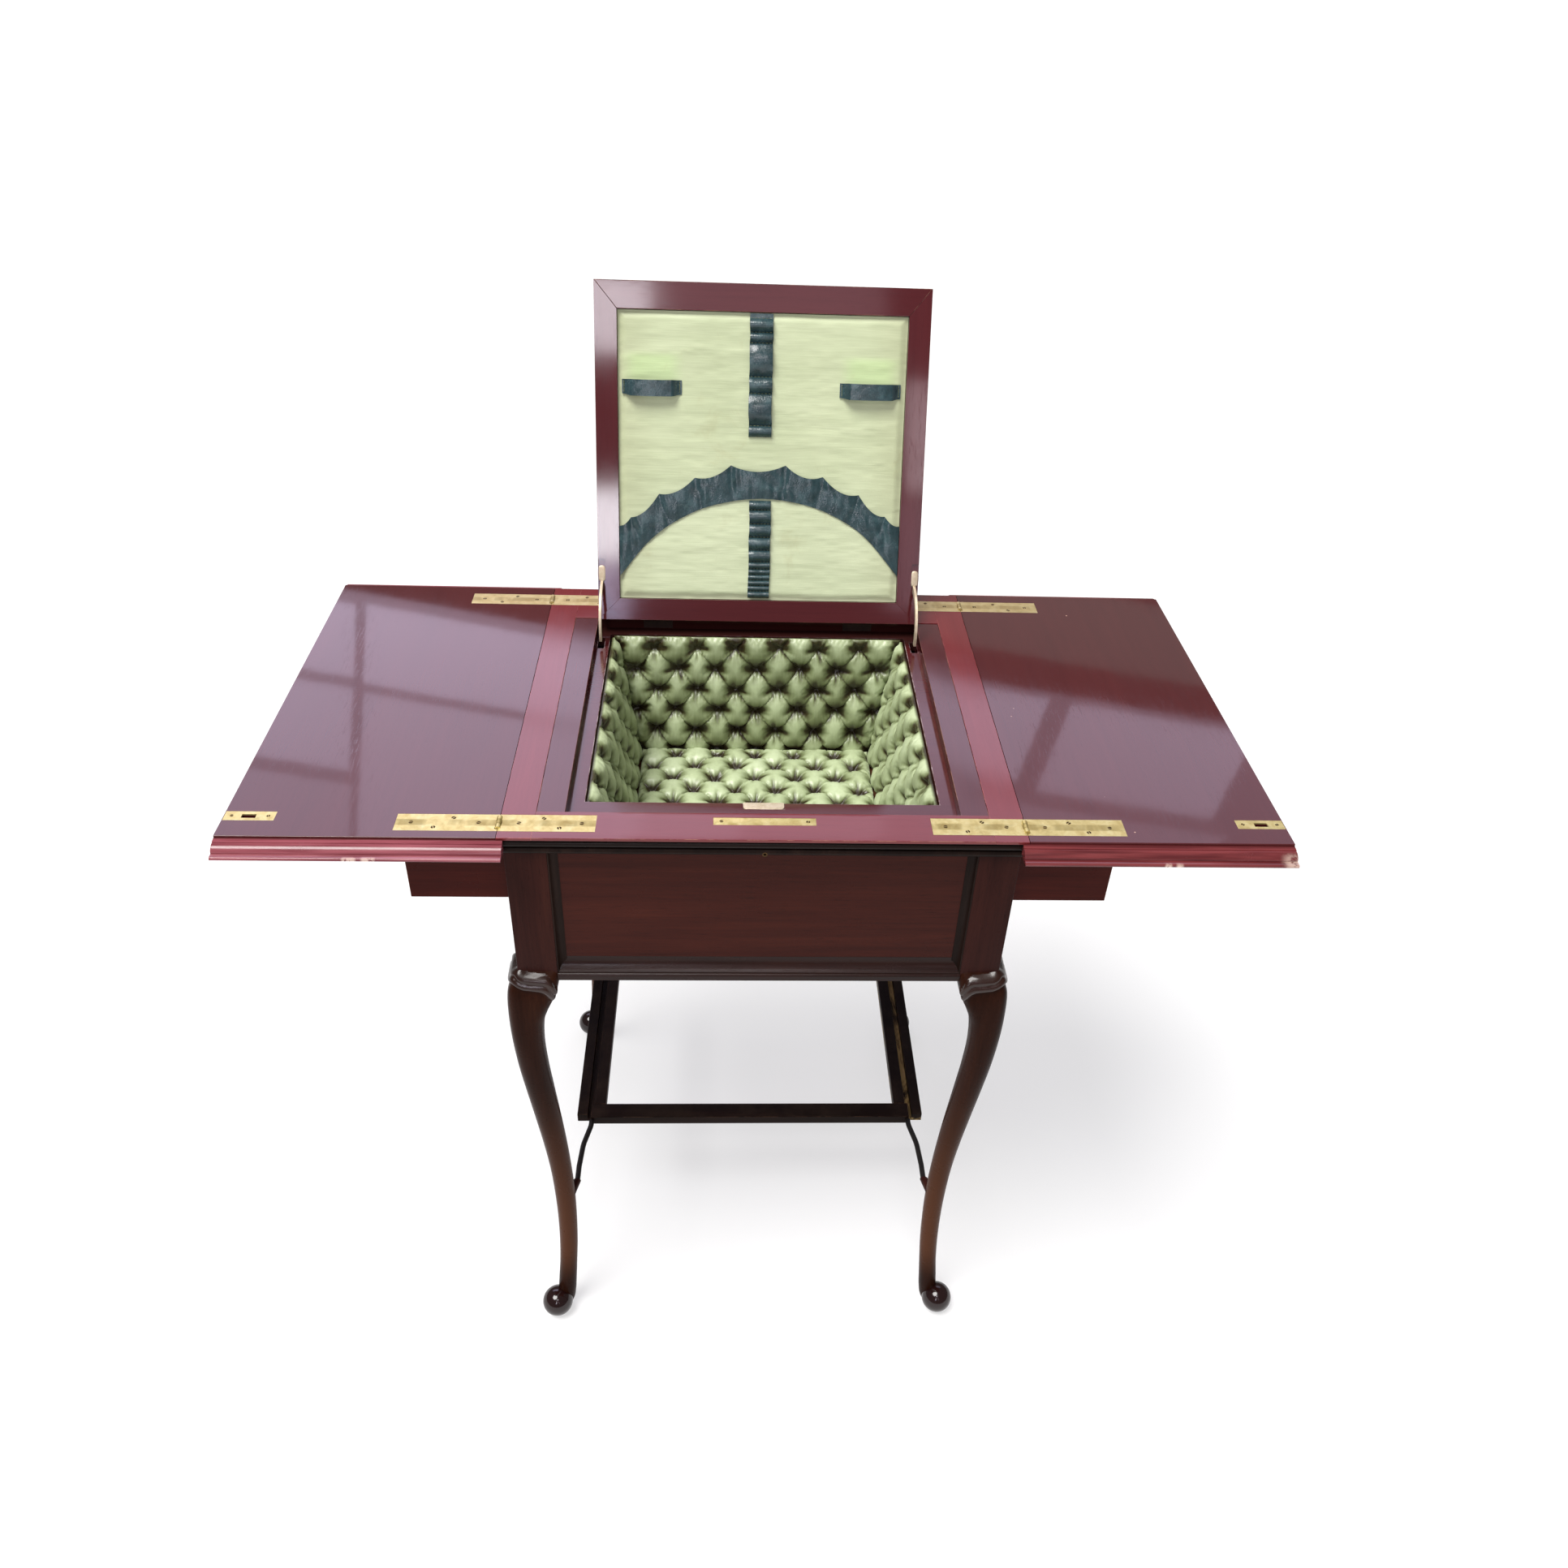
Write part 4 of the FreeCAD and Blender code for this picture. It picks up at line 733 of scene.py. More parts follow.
def leg_arrays(front):
    """One leg in its own quarter (x and y positive): carved knee, curve and ball; mm."""
    lz = np.array([s[0] for s in LEG])[::-1]
    get = lambda k: np.array([s[k] for s in LEG])[::-1]
    zs = np.unique(np.concatenate([np.linspace(3, 500, 160), np.linspace(500, 574, 130)]))
    c, ro, ri, sq = (spline(zs, lz, get(k)) for k in (1, 2, 3, 4))
    na = 96
    a = np.linspace(0, 2 * math.pi, na, endpoint=False)
    ca, sa = np.cos(a), np.sin(a)
    phi = (a - math.pi / 4 + math.pi) % (2 * math.pi) - math.pi       # from the outer corner
    e = 2.0 / sq[:, None]
    px, py = np.sign(ca) * np.abs(ca) ** e, np.sign(sa) * np.abs(sa) ** e
    slope = 6.5 * smooth01((zs - 556.0) / 14.0)                        # the shoulder runs back to the post
    kx = np.where(ca > 0, (ro - slope)[:, None], ri[:, None])
    ky = np.where(sa > 0, (ro - slope)[:, None], ri[:, None])
    # two carved rolls round the knee, lowest on the inner faces
    zc = 562.0 - 19.0 * (1 - np.cos(np.clip(np.abs(phi), 0, math.pi / 2)))
    roll = np.zeros((len(zs), na))
    for dz, hw, amp in ((0.0, 3.9, 2.9), (-7.2, 3.7, 2.5)):
        t = (zs[:, None] - (zc + dz)[None, :]) / hw
        roll += amp * np.sqrt(np.clip(1 - t * t, 0, 1))
    fade = smooth01((math.radians(118) - np.abs(phi)) / math.radians(25))
    carved = (roll > 0.05) & (fade > 0.05)[None, :]
    under = (zs[:, None] - (zc - 13.5)[None, :]) / 5.0
    roll -= 0.7 * np.exp(-under ** 2)
    roll *= fade
    x = c[:, None] + (kx + roll) * px
    y = c[:, None] - 5 + (ky + roll) * py
    z = np.repeat(zs[:, None], na, 1)
    loft = np.stack([x, y, z], -1)
    v = [loft.reshape(-1, 3)]
    i, j = np.meshgrid(np.arange(len(zs) - 1), np.arange(na), indexing="ij")
    q = np.stack([i * na + j, i * na + (j + 1) % na, (i + 1) * na + (j + 1) % na, (i + 1) * na + j], -1).reshape(-1, 4)
    f = [q]
    carved = (carved[:-1] | carved[1:]).ravel()
    caps = [np.arange(na)[::-1], np.arange(na) + (len(zs) - 1) * na]
    n = v[0].shape[0]
    # ball foot, flat where it stands
    nb, nl = 48, 30
    lat = np.linspace(-math.asin(17.0 / 17.5), math.pi / 2 - 0.02, nl)
    lon = np.linspace(0, 2 * math.pi, nb, endpoint=False)
    bx_ = 226 + 17.5 * np.cos(lat)[:, None] * np.cos(lon)
    by_ = 221 + 17.5 * np.cos(lat)[:, None] * np.sin(lon)
    bz_ = np.repeat((17 + 17.5 * np.sin(lat))[:, None], nb, 1)
    v.append(np.stack([bx_, by_, bz_], -1).reshape(-1, 3))
    i, j = np.meshgrid(np.arange(nl - 1), np.arange(nb), indexing="ij")
    f.append(n + np.stack([i * nb + j, i * nb + (j + 1) % nb, (i + 1) * nb + (j + 1) % nb, (i + 1) * nb + j], -1).reshape(-1, 4))
    caps += [n + np.arange(nb)[::-1], n + np.arange(nb) + (nl - 1) * nb]
    return np.concatenate(v), np.concatenate(f), caps, carved


def post_bmesh(bm, sx, sy, front):
    """The square corner post with the slot its loper runs through, edges eased; added to bm."""
    ol = [(176, 548), (221, 548), (221, 713), (206.5, 713), (206.5, 639.5), (185.5, 639.5), (185.5, 713), (176, 713)]
    p = bmesh.new()
    rings = []
    for x in (189, 226):
        rings.append([p.verts.new((x * sx * MM, y * sy * MM, z * MM)) for y, z in ol])
    n = len(ol)
    p.faces.new(rings[0])
    p.faces.new(rings[1][::-1])
    for k in range(n):
        p.faces.new([rings[0][k], rings[1][k], rings[1][(k + 1) % n], rings[0][(k + 1) % n]])
    bmesh.ops.recalc_face_normals(p, faces=p.faces)
    bmesh.ops.bevel(p, geom=[e for e in p.edges if e.verts[0].co.z > 0.549 or e.verts[1].co.z > 0.549], offset=0.8 * MM,
                    offset_type="OFFSET", segments=2, profile=0.5, affect="EDGES", clamp_overlap=True)
    if front:                                        # the small block that takes the iron brace
        q = bmesh.ops.create_cone(p, cap_ends=True, segments=24, radius1=4.4, radius2=7.0, depth=17.0)["verts"]
        for w in q:
            a, b, c = w.co
            w.co = Vector(((196.0 + a + (c + 8.5) * 0.42) * sx, (187.2 + c + 8.5) * sy, 200 + b)) * MM
    tmp = bpy.data.meshes.new("tmp")
    p.to_mesh(tmp)
    p.free()
    bm.from_mesh(tmp)
    bpy.data.meshes.remove(tmp)


for name, sx, sy in (("front_left", -1, -1), ("front_right", 1, -1), ("rear_left", -1, 1), ("rear_right", 1, 1)):
    v, f, caps, carved = leg_arrays(sy < 0)
    v = v * np.array([sx, sy, 1.0]) * MM
    me = bpy.data.meshes.new("tmp")
    me.from_pydata(v.tolist(), [], f.tolist() + [list(map(int, c)) for c in caps])
    bm = bmesh.new()
    bm.from_mesh(me)
    bpy.data.meshes.remove(me)
    post_bmesh(bm, sx, sy, sy < 0)
    o = new_object("leg_%s.carved" % name, finish_mesh(bm, "leg_" + name, 50.0), W_LEG, "case", ("leg_" + name,))
    o.data.materials.append(W_POST)
    o.data.materials.append(W_KNEE)
    o.data.materials.append(W_BALL)
    for poly in o.data.polygons:
        if poly.index >= len(f) + len(caps):
            poly.material_index = 1
        elif poly.index < len(carved) and carved[poly.index]:
            poly.material_index = 2
        elif len(carved) <= poly.index < len(f):
            poly.material_index = 3


# ------------------------------------------------------------------ screws in the brass
def screws(name, body, spots):
    """Small slotted heads, nearly flush: (x, y, radius, turn) on the top of the plates."""
    nr, na = 9, 32
    vs, fs = [], []
    base = 0
    for x, y, r, turn in spots:
        rr = np.linspace(0.0, 1.0, nr) ** 0.8
        aa = np.linspace(0, 2 * math.pi, na, endpoint=False)
        px = (rr[:, None] * np.cos(aa)) * r
        py = (rr[:, None] * np.sin(aa)) * r
        cross = np.abs(-px * math.sin(turn) + py * math.cos(turn))
        h = 0.22 * (1 - rr[:, None] ** 2) + 0.05 - 0.42 * smooth01((0.20 * r - cross) / (0.08 * r))
        h[-1] = -0.1
        vs.append(np.stack([x + px, y + py, TOP + h], -1).reshape(-1, 3) * MM)
        i, j = np.meshgrid(np.arange(nr - 1), np.arange(na), indexing="ij")
        fs.append(base + np.stack([i * na + j, (i + 1) * na + j, (i + 1) * na + (j + 1) % na, i * na + (j + 1) % na], -1).reshape(-1, 4))
        base += nr * na
    me = from_arrays(name, np.concatenate(vs), np.concatenate(fs), 60.0)
    bm = bmesh.new()
    bm.from_mesh(me)
    bmesh.ops.remove_doubles(bm, verts=bm.verts, dist=1e-7)
    bm.to_mesh(me)
    bm.free()
    return new_object(name, me, BRASS_DARK, body)


def flat_plate(name, outline, z0, z1, mat, body, nodes, ease=0.25):
    """A plate from its outline in X and Y, top edges eased."""
    bm = bmesh.new()
    lo = [bm.verts.new((x * MM, y * MM, z0 * MM)) for x, y in outline]
    hi = [bm.verts.new((x * MM, y * MM, z1 * MM)) for x, y in outline]
    bm.faces.new(lo[::-1])
    bm.faces.new(hi)
    n = len(outline)
    for k in range(n):
        bm.faces.new([lo[k], lo[(k + 1) % n], hi[(k + 1) % n], hi[k]])
    rim = [e for e in bm.edges if e.verts[0].co.z > (z1 - 0.01) * MM and e.verts[1].co.z > (z1 - 0.01) * MM]
    bmesh.ops.bevel(bm, geom=rim, offset=ease * MM, offset_type="OFFSET", segments=2, profile=0.5, affect="EDGES", clamp_overlap=True)
    return new_object(name, finish_mesh(bm, name, 30.0), mat, body, nodes)


def rounded(x0, x1, y0, y1, r_lo, r_hi, n=8):
    """Outline of a plate with its corners rounded, r_lo at y0 and r_hi at y1."""
    out = []
    for cx, cy, r, a0 in ((x0, y0, r_lo, 180), (x1, y0, r_lo, 270), (x1, y1, r_hi, 0), (x0, y1, r_hi, 90)):
        ox = cx + r if cx == x0 else cx - r
        oy = cy + r if cy == y0 else cy - r
        for i in range(n + 1):
            a = math.radians(a0 + 90 * i / n)
            out.append((ox + r * math.cos(a), oy + r * math.sin(a)))
    return out


flat_plate("finger_plate.rounded", rounded(-18.5, 18.5, -166.5, -156.8, 3.4, 0.5), 711.2, 712.8, BRASS_PALE, "case", ("finger_plate",), 0.4)
flat_plate("lock_plate.plain", rounded(-45, 45, -205, -195, 0.3, 0.3, 3), 723.4, 725.0, BRASS, "case", ("lock_plate",))


def plate_screws(sx, x0, x1):
    out = []
    for yc in (-205.0, 199.0):
        for k, (fx, fy) in enumerate(((0.13, 0.0), (0.42, 6.6), (0.62, -6.6), (0.88, 0.0))):
            out.append((sx * (x0 + (x1 - x0) * fx), yc + fy, 2.1, 0.5 + 1.1 * k + yc))
    return out


screws("screws_fixed_plates", "case", plate_screws(1, 222, 150) + plate_screws(-1, 222, 150) + [(-38, -200, 1.9, 0.3), (38, -200, 1.9, 1.4)])
screws("screws_leaf_right", "leaf_right", plate_screws(1, 237, 314) + [(427, -198.2, 1.7, 0.8), (458, -198.2, 1.7, 2.0)])
screws("screws_leaf_left", "leaf_left", plate_screws(-1, 237, 314) + [(-427, -198.2, 1.7, 1.8), (-458, -198.2, 1.7, 0.4)])


# ------------------------------------------------------------------ the buttoned well
PITCH = 45.0
SOFT = []


def tufted(p, q, row, seed, sag):
    """Buttons in staggered rows; q runs downwards. Gives the pillow 0..1 between buttons (fullest below its middle by sag),
    how far down its pillow a place lies, the offset from the nearest button, a turn for each button and a tone for each pillow."""
    p = p + value_noise(p, q, seed, 38.0) * 3.0
    q = q + value_noise(p, q, seed + 1, 38.0) * 2.4
    A = p / PITCH + q / row / 2 - 0.5
    B = p / PITCH - q / row / 2 - 0.5
    fa, fb = A - np.floor(A), B - np.floor(B)
    g = 1.0 + 0.36 * sag
    pillow = np.maximum(np.sin(math.pi * fa ** g) * np.sin(math.pi * (1 - (1 - fb) ** g)), 0.0) ** 0.5
    na, nb = np.round(A), np.round(B)
    dp = (A - na + B - nb) / 2 * PITCH
    dq = (A - na - (B - nb)) * row
    hash2 = lambda i, j: np.modf(np.abs(np.sin(i * 12.9898 + j * 78.233 + seed) * 43758.5453))[0]
    return pillow, fa - fb, dp, dq, 6.28 * hash2(na, nb), 2 * hash2(np.floor(A) + 7, np.floor(B)) - 1


def above_below(dq, up, down):
    """A bell that falls off at its own rate above and below a button."""
    return np.exp(-(dq / np.where(dq < 0, up, down)) ** 2)


def pad(name, node, point, p0, p1, q_of, thick, length, row, seed, relief=1.0, sag=0.6, crest=2.4, shade=0.0, step=2.3):
    """The sewn shape of a buttoned pad: point(p, t, h) places it, p0(t)..p1(t) is its width, t from the bottom to the top."""
    nt = int(length / step) + 1
    ns = int(max(p1(1.0) - p0(1.0), p1(0.0) - p0(0.0)) / step) + 1

    def field(ms, mt):
        t = np.linspace(0, 1, mt)[None, :] + np.zeros((ms, 1))
        p = p0(t) + (p1(t) - p0(t)) * np.linspace(0, 1, ms)[:, None]
        near = np.minimum(p - p0(t), p1(t) - p)
        rim = smooth01(near / 8.0) * smooth01((1 - t) * length / 5.0) * smooth01(t * length / 7.0)
        return (p, t, near, rim) + tufted(p, q_of(t), row, seed, sag)

    p, t, near, rim, pillow, low, dp, dq, turn, tone = field(ns, nt)
    th = thick(t)
    pit = np.exp(-(dp / 9.0) ** 2) * above_below(dq, 6.6, 4.6 + 2.0 * (sag == 0))
    h = relief * (crest * pillow * rim - th * (0.20 * (1 - pillow) + 0.78 * pit))
    h = np.maximum(h - (1 - rim) * 0.30 * th, 0.7 - th) - 0.6
    hold = (np.hypot(dp / 1.5, dq) < 2.4) | (near < 1.2) | (t < 1.0 / nt) | (t > 1 - 1.0 / nt)
    out = point(p, t, h + 1.0) - point(p, t, h)
    k = {"name": name, "node": node, "top": point(p, t, h), "bot": point(p, t, -th), "hold": hold, "out": out[ns // 2, nt // 2]}
    # after the stuffing: crumpled pleats under each button, lumps, and the hang of the pillows
    p, t, near, rim, pillow, low, dp, dq, turn, tone = field(2 * ns - 1, 2 * nt - 1)
    reach = np.where(dq > -1.0, 1.0, 0.45 if sag else 1.0)
    fold = np.cos(6.2832 * dp / 4.8 + turn + 0.05 * dp * dq) * np.exp(-(dp / 8.5) ** 2 - ((np.abs(dq) - 6.0) / 4.4) ** 2) * reach * rim
    ang, rad = np.arctan2(dq, dp), np.hypot(dp, dq)
    star = 0.65 * np.cos(7 * ang + turn) + 0.5 * np.cos(4 * ang - 2 * turn + 1.0) + 0.25 * np.cos(11 * ang + 3 * turn)
    star = np.maximum(star, 0.0) * np.exp(-((rad - 9.0) / 7.5) ** 2) * rim
    lump = value_noise(p, q_of(t), seed + 5, 11.0) * 0.45 + value_noise(p, q_of(t), seed + 6, 23.0) * 0.6
    k["push"] = relief * (0.70 * fold - 1.15 * star + lump * rim * pillow)
    k["hang"] = sag * 4.4 * pillow * smooth01((low + 0.35) / 1.0) * rim
    # painted shade for the satin's colour: near black around and above each button, darker along the seams, in the
    # creases and on the lower part of each pillow, lighter on the pleat ridges, plus the pad's own shade; tone is a
    # random difference between pillows
    slot = np.exp(-(dp / 11.0) ** 2) * above_below(dq + 1.0, 8.5 if sag else 5.0, 3.4 if sag else 5.0)
    under = sag * 0.85 * pillow * smooth01((low + 0.35) / 1.0)
    k["deep"] = relief ** 0.5 * (1.12 * slot + 0.46 * (1 - pillow) ** 2 + 0.42 * star - 0.16 * fold) + under + shade + 0.10 * tone
    SOFT.append(k)


def swell(soft, frames=14, cap=5.0):
    """Lets the stuffing push the slack satin out between the buttons: all pads together, at ten times size."""
    made = []
    for k in soft:
        ns, nt = k["top"].shape[:2]
        me = bpy.data.meshes.new("slack")
        f = grid_faces(ns, nt)
        i, j = ns // 2, nt // 2
        n = np.cross(k["top"][i + 1, j] - k["top"][i, j], k["top"][i, j + 1] - k["top"][i, j])
        if np.dot(n, k["out"]) < 0:
            f = f[:, ::-1]
        me.from_pydata((k["top"] * 10).reshape(-1, 3).tolist(), [], f.tolist())
        o = bpy.data.objects.new("slack", me)
        scene.collection.objects.link(o)
        g = o.vertex_groups.new(name="hold")
        g.add([int(x) for x in np.nonzero(k["hold"].ravel())[0]], 1.0, "REPLACE")
        c = o.modifiers.new("cloth", "CLOTH")
        c.settings.quality = 5
        c.settings.mass = 0.02
        c.settings.tension_stiffness = 15
        c.settings.compression_stiffness = 15
        c.settings.shear_stiffness = 5
        c.settings.bending_stiffness = 0.06
        c.settings.vertex_group_mass = "hold"
        c.settings.shrink_min = -0.05
        c.settings.use_pressure = True
        c.settings.uniform_pressure_force = 11.0
        c.settings.effector_weights.gravity = 0.0
        c.collision_settings.use_collision = False
        c.collision_settings.use_self_collision = False
        c.point_cache.frame_start, c.point_cache.frame_end = 1, frames
        made.append(o)
    for fr in range(1, frames + 1):
        scene.frame_set(fr)
    dg = bpy.context.evaluated_depsgraph_get()
    for k, o in zip(soft, made):
        me = o.evaluated_get(dg).data
        co = np.zeros(len(me.vertices) * 3)
        me.vertices.foreach_get("co", co)
        move = co.reshape(k["top"].shape) / 10 - k["top"]
        size = np.linalg.norm(move, axis=-1, keepdims=True)
        k["top"] = k["top"] + move * np.minimum(1.0, cap * MM / np.maximum(size, 1e-9))
    for o in made:
        bpy.data.objects.remove(o)
    scene.frame_set(1)


def finer(g):
    """A grid with a point put between every two, on a cubic through its neighbours."""
    for ax in (0, 1):
        g = np.moveaxis(g, ax, 0)
        e = np.concatenate([2 * g[:1] - g[1:2], g, 2 * g[-1:] - g[-2:-1]])
        mid = (9 * (e[1:-2] + e[2:-1]) - e[:-3] - e[3:]) / 16
        out = np.empty((2 * len(g) - 1,) + g.shape[1:])
        out[0::2], out[1::2] = g, mid
        g = np.moveaxis(out, 0, ax)
    return g


def rear_point(p, t, h):
    z = 567 + 145 * t
    y = 126 + 14 * (z - 567) / 134.5
    return np.stack([p, y - h * 0.9946, z + h * 0.1035], -1) * MM


def rear_thick(t):
    z = 567 + 145 * t
    tz = (z - 567) / 134.5
    y = 126 + 14 * tz
    return np.where(z > 697, np.minimum(12.6 - 6.1 * tz, 144.6 - y), 12.6 - 6.1 * tz)


def front_point(p, t, h):
    return np.stack([p, -137 - 18 * t + h * 0.9912, 567 + 134.5 * t + h * 0.1327], -1) * MM


UP = 143.2 / 134.5               # the side pads turn up behind the edge of the rim


def side_point(sx):
    return lambda p, t, h: np.stack([sx * (130 + 22 * UP * t - h * 0.9869), p, 567 + 143.2 * t + h * 0.1614], -1) * MM


def side_thick(t):
    return np.minimum(10.6 - 3.6 * t, 160.5 - (130 + 22 * UP * t))


def floor_point(p, t, h):
    return np.stack([p, -136.5 + 262.0 * t, 578.4 + h], -1) * MM


half = lambda t: 130 + 22 * t + 4.0
# shade adds painted shade over a whole pad: most on the rear wall, less on the left wall and the floor, least on the
# right
pad("well_rear.buttoned", "pad_rear", rear_point, lambda t: -half(t * 1.06), lambda t: half(t * 1.06), lambda t: 700 - (567 + 145 * t),
    rear_thick, 145.8, 25.8, 21, shade=0.18)
pad("well_front.buttoned", "pad_front", front_point, lambda t: -half(t), half, lambda t: 700 - (567 + 134.5 * t),
    lambda t: 12.6 - 5.1 * t, 135.7, 25.8, 41)
for sx, nm in ((1, "right"), (-1, "left")):
    pad("well_%s.buttoned" % nm, "pad_" + nm, side_point(sx), lambda t: np.maximum(-140 - 18 * UP * t, -156.4), lambda t: 129 + 14 * UP * t,
        lambda t: 700 - (567 + 143.2 * t), side_thick, 145.0, 25.8, 61 if sx > 0 else 81, shade=0.04 if sx > 0 else 0.13)
pad("well_floor.buttoned", "pad_floor", floor_point, lambda t: -129.3 + 0 * t, lambda t: 129.3 + 0 * t, lambda t: 262.0 * (1 - t) + 8.0,
    lambda t: 12.0 + 0 * t, 262.0, 22.0, 101, 0.78, 0.0, 2.6, shade=0.09)
swell(SOFT)
for k in SOFT:
    top, bot, deep = finer(k["top"]), finer(k["bot"]), k["deep"]
    top = top + k["push"][..., None] * k["out"] - k["hang"][..., None] * np.array([0.0, 0.0, MM])
    v, f = solid_grid(top, bot)
    dv = np.concatenate([np.clip(deep, 0, 1).ravel(), np.ones(deep.size)])
    o = new_object(k["name"], from_arrays(k["name"], v, f, 75.0, {"depth": dv}), SATIN, "case", (k["node"],))


# ------------------------------------------------------------------ quadrant stays of the lid
def stay(sx):
    """A thin brass quadrant with a rounded head, about the lid's axis; a is the angle from the lid's plane."""
    a = np.radians(np.linspace(14.0, 118.0, 72))[:, None]
    k = np.linspace(0, 1, 5)[None, :]
    t = (a - a[0]) / (a[-1] - a[0])
    r = 40.0 + (3.6 - 1.2 * t) * (2 * k - 1)
    cy, cz = 0.35837 * np.cos(a) - 0.93358 * np.sin(a), 0.93358 * np.cos(a) + 0.35837 * np.sin(a)
    y, z = LID_Y + r * cy, LID_Z + r * cz
    x = np.full_like(y, 168.2)
    v, f = solid_grid(np.stack([sx * (x + 2.7), y, z], -1) * MM, np.stack([sx * x, y, z], -1) * MM)
    vs, fs = [v], [f]
    # the head is a flat knob let into the edge of the stile
    nb, nl = 28, 15
    la, lo_ = np.linspace(-math.pi / 2, math.pi / 2, nl)[:, None], np.linspace(0, 2 * math.pi, nb, endpoint=False)[None, :]
    e = lambda q: np.sign(q) * np.abs(q) ** 0.7
    hx = 169.6 + 4.5 * e(np.cos(la) * np.cos(lo_))
    hu = 50.0 + 8.6 * e(np.cos(la) * np.sin(lo_))
    hw = -0.6 + 2.7 * np.sign(la) * np.abs(np.sin(la)) ** 0.25 + 0 * lo_
    hv = lid_point(sx * hx, hu, hw).reshape(-1, 3)
    i, j = np.meshgrid(np.arange(nl - 1), np.arange(nb), indexing="ij")
    hf = len(v) + np.stack([i * nb + j, i * nb + (j + 1) % nb, (i + 1) * nb + (j + 1) % nb, (i + 1) * nb + j], -1).reshape(-1, 4)
    return [v, hv], [f, hf]


vs, fs, base = [], [], 0
for sx in (1, -1):
    a, b = stay(sx)
    n = sum(len(q) for q in a)
    vs += a
    fs += [q + base for q in b]
    base += n
new_object("lid_stays.shaped", from_arrays("lid_stays", np.concatenate(vs), np.concatenate(fs), 40.0), BRASS_PALE, "lid", ("lid_stays",))


# ------------------------------------------------------------------ lining of the lid
def lid_slab(name, X, U, W, thick, mat, nodes=(), sharp=55.0):
    top = lid_point(X, U, W)
    bot = lid_point(X, U, W - thick)
    v, f = solid_grid(top, bot)
    return new_object(name, from_arrays(name, v, f, sharp), mat, "lid", nodes)


xs = np.linspace(-150.4, 150.4, 200)[:, None]
us = np.linspace(24.0, 318.8, 240)[None, :]
near = np.minimum(np.minimum(xs + 150.4, 150.4 - xs), np.minimum(us - 24.0, 318.8 - us))
w = -2.2 + 2.6 * smooth01(near / 9.0)
w = w + 0.40 * value_noise(xs / 5.0 + 40, us, 5, 9.0) + 0.20 * value_noise(xs / 3.0 + 90, us, 6, 4.0)
w = w + 0.35 * value_noise(xs, us, 8, 70.0)
silk_o = lid_slab("lid_silk.drawn", xs + 0 * us, us + 0 * xs, w, np.full_like(w, 0) + (w + 3.9), SILK, ("lid_silk_pad",))

CUSPS = [(-150, 101), (-138, 110), (-108, 135), (-70, 152.5), (-32, 166), (26, 167), (66, 156), (105, 138), (134, 116), (150, 106)]
DIPS = [(-144, 103), (-122, 117.5), (-90, 137.5), (-52, 153.5), (-2, 160), (46, 155), (86, 140), (119, 121), (141.5, 108)]
INNER = [(-150, 48), (-119, 85), (-75, 115), (-32, 128.5), (-1, 132), (29, 130), (73, 118), (114, 93), (150, 53)]


def band_outer(x):
    out = np.zeros_like(x)
    phase = np.zeros_like(x)
    for i in range(len(CUSPS) - 1):
        (x0, u0), (x1, u1), (xm, um) = CUSPS[i], CUSPS[i + 1], DIPS[i]
        k = (x >= x0) & (x <= x1)
        t = (x[k] - x0) / (x1 - x0)
        tm = (xm - x0) / (x1 - x0)
        sag = (um - (u0 + (u1 - u0) * tm)) / (4 * tm * (1 - tm))
        out[k] = u0 + (u1 - u0) * t + sag * 4 * t * (1 - t)
        phase[k] = t
    return out, phase


bxs = np.linspace(-150, 150, 420)
bo, ph = band_outer(bxs)
bi = spline(bxs, [c[0] for c in INNER], [c[1] for c in INNER])
vv = np.linspace(0, 1, 22)[None, :]
U = bi[:, None] + (bo - bi)[:, None] * vv
X = bxs[:, None] + 0 * vv
belly = np.sin(math.pi * ph)[:, None]
W = 1.0 + 1.5 * vv ** 1.6 * belly + 0.9 * np.sin(math.pi * vv) * (0.4 + 0.6 * belly)
W = W + 1.0 + 0.5 * value_noise(X + 30 * vv, U * 0.25, 31, 9.0) + 0.35 * value_noise(X, U * 0.2, 33, 4.5)
for cx, cu in CUSPS[1:-1]:                       # a tuck runs inward from every point of the edge
    lean = cx * 0.10 * (1 - vv)
    W = W - 1.1 * np.exp(-((X - cx + lean) / 2.6) ** 2) * (0.25 + 0.75 * vv) + 0.7 * np.exp(-((X - cx + lean - 5.5) / 3.2) ** 2) * vv
lid_slab("lid_band.gathered", X, U, np.maximum(W, 1.5), 1.0, LEATHER, ("lid_leather_band",))


def strap(name, x0, x1, marks, heights, nodes=()):
    """A strap sewn down at the marks (u, from the top) and standing off between them."""
    parts = []
    for i in range(len(marks) - 1):
        n = max(10, int(abs(marks[i + 1] - marks[i]) / 0.8))
        t = np.linspace(0, 1, n, endpoint=False)
        parts.append(np.stack([marks[i] + (marks[i + 1] - marks[i]) * t, heights[i] * np.sin(math.pi * t) ** 0.75], -1))
    prof = np.concatenate(parts + [np.array([[marks[-1], 0.0]])])
    xx = np.linspace(x0, x1, 18)[:, None]
    mid = (xx - (x0 + x1) / 2) / ((x1 - x0) / 2)
    ww = 1.5 + prof[None, :, 1] * (1 - 0.10 * mid ** 2) + 0.25 * value_noise(xx, prof[None, :, 0], 17, 6.0)
    xw = xx + 0.5 * value_noise(0 * xx, prof[None, :, 0], 19, 11.0)
    return lid_slab(name, xw, prof[None, :, 0] + 0 * xx, ww, 1.2, LEATHER, nodes)


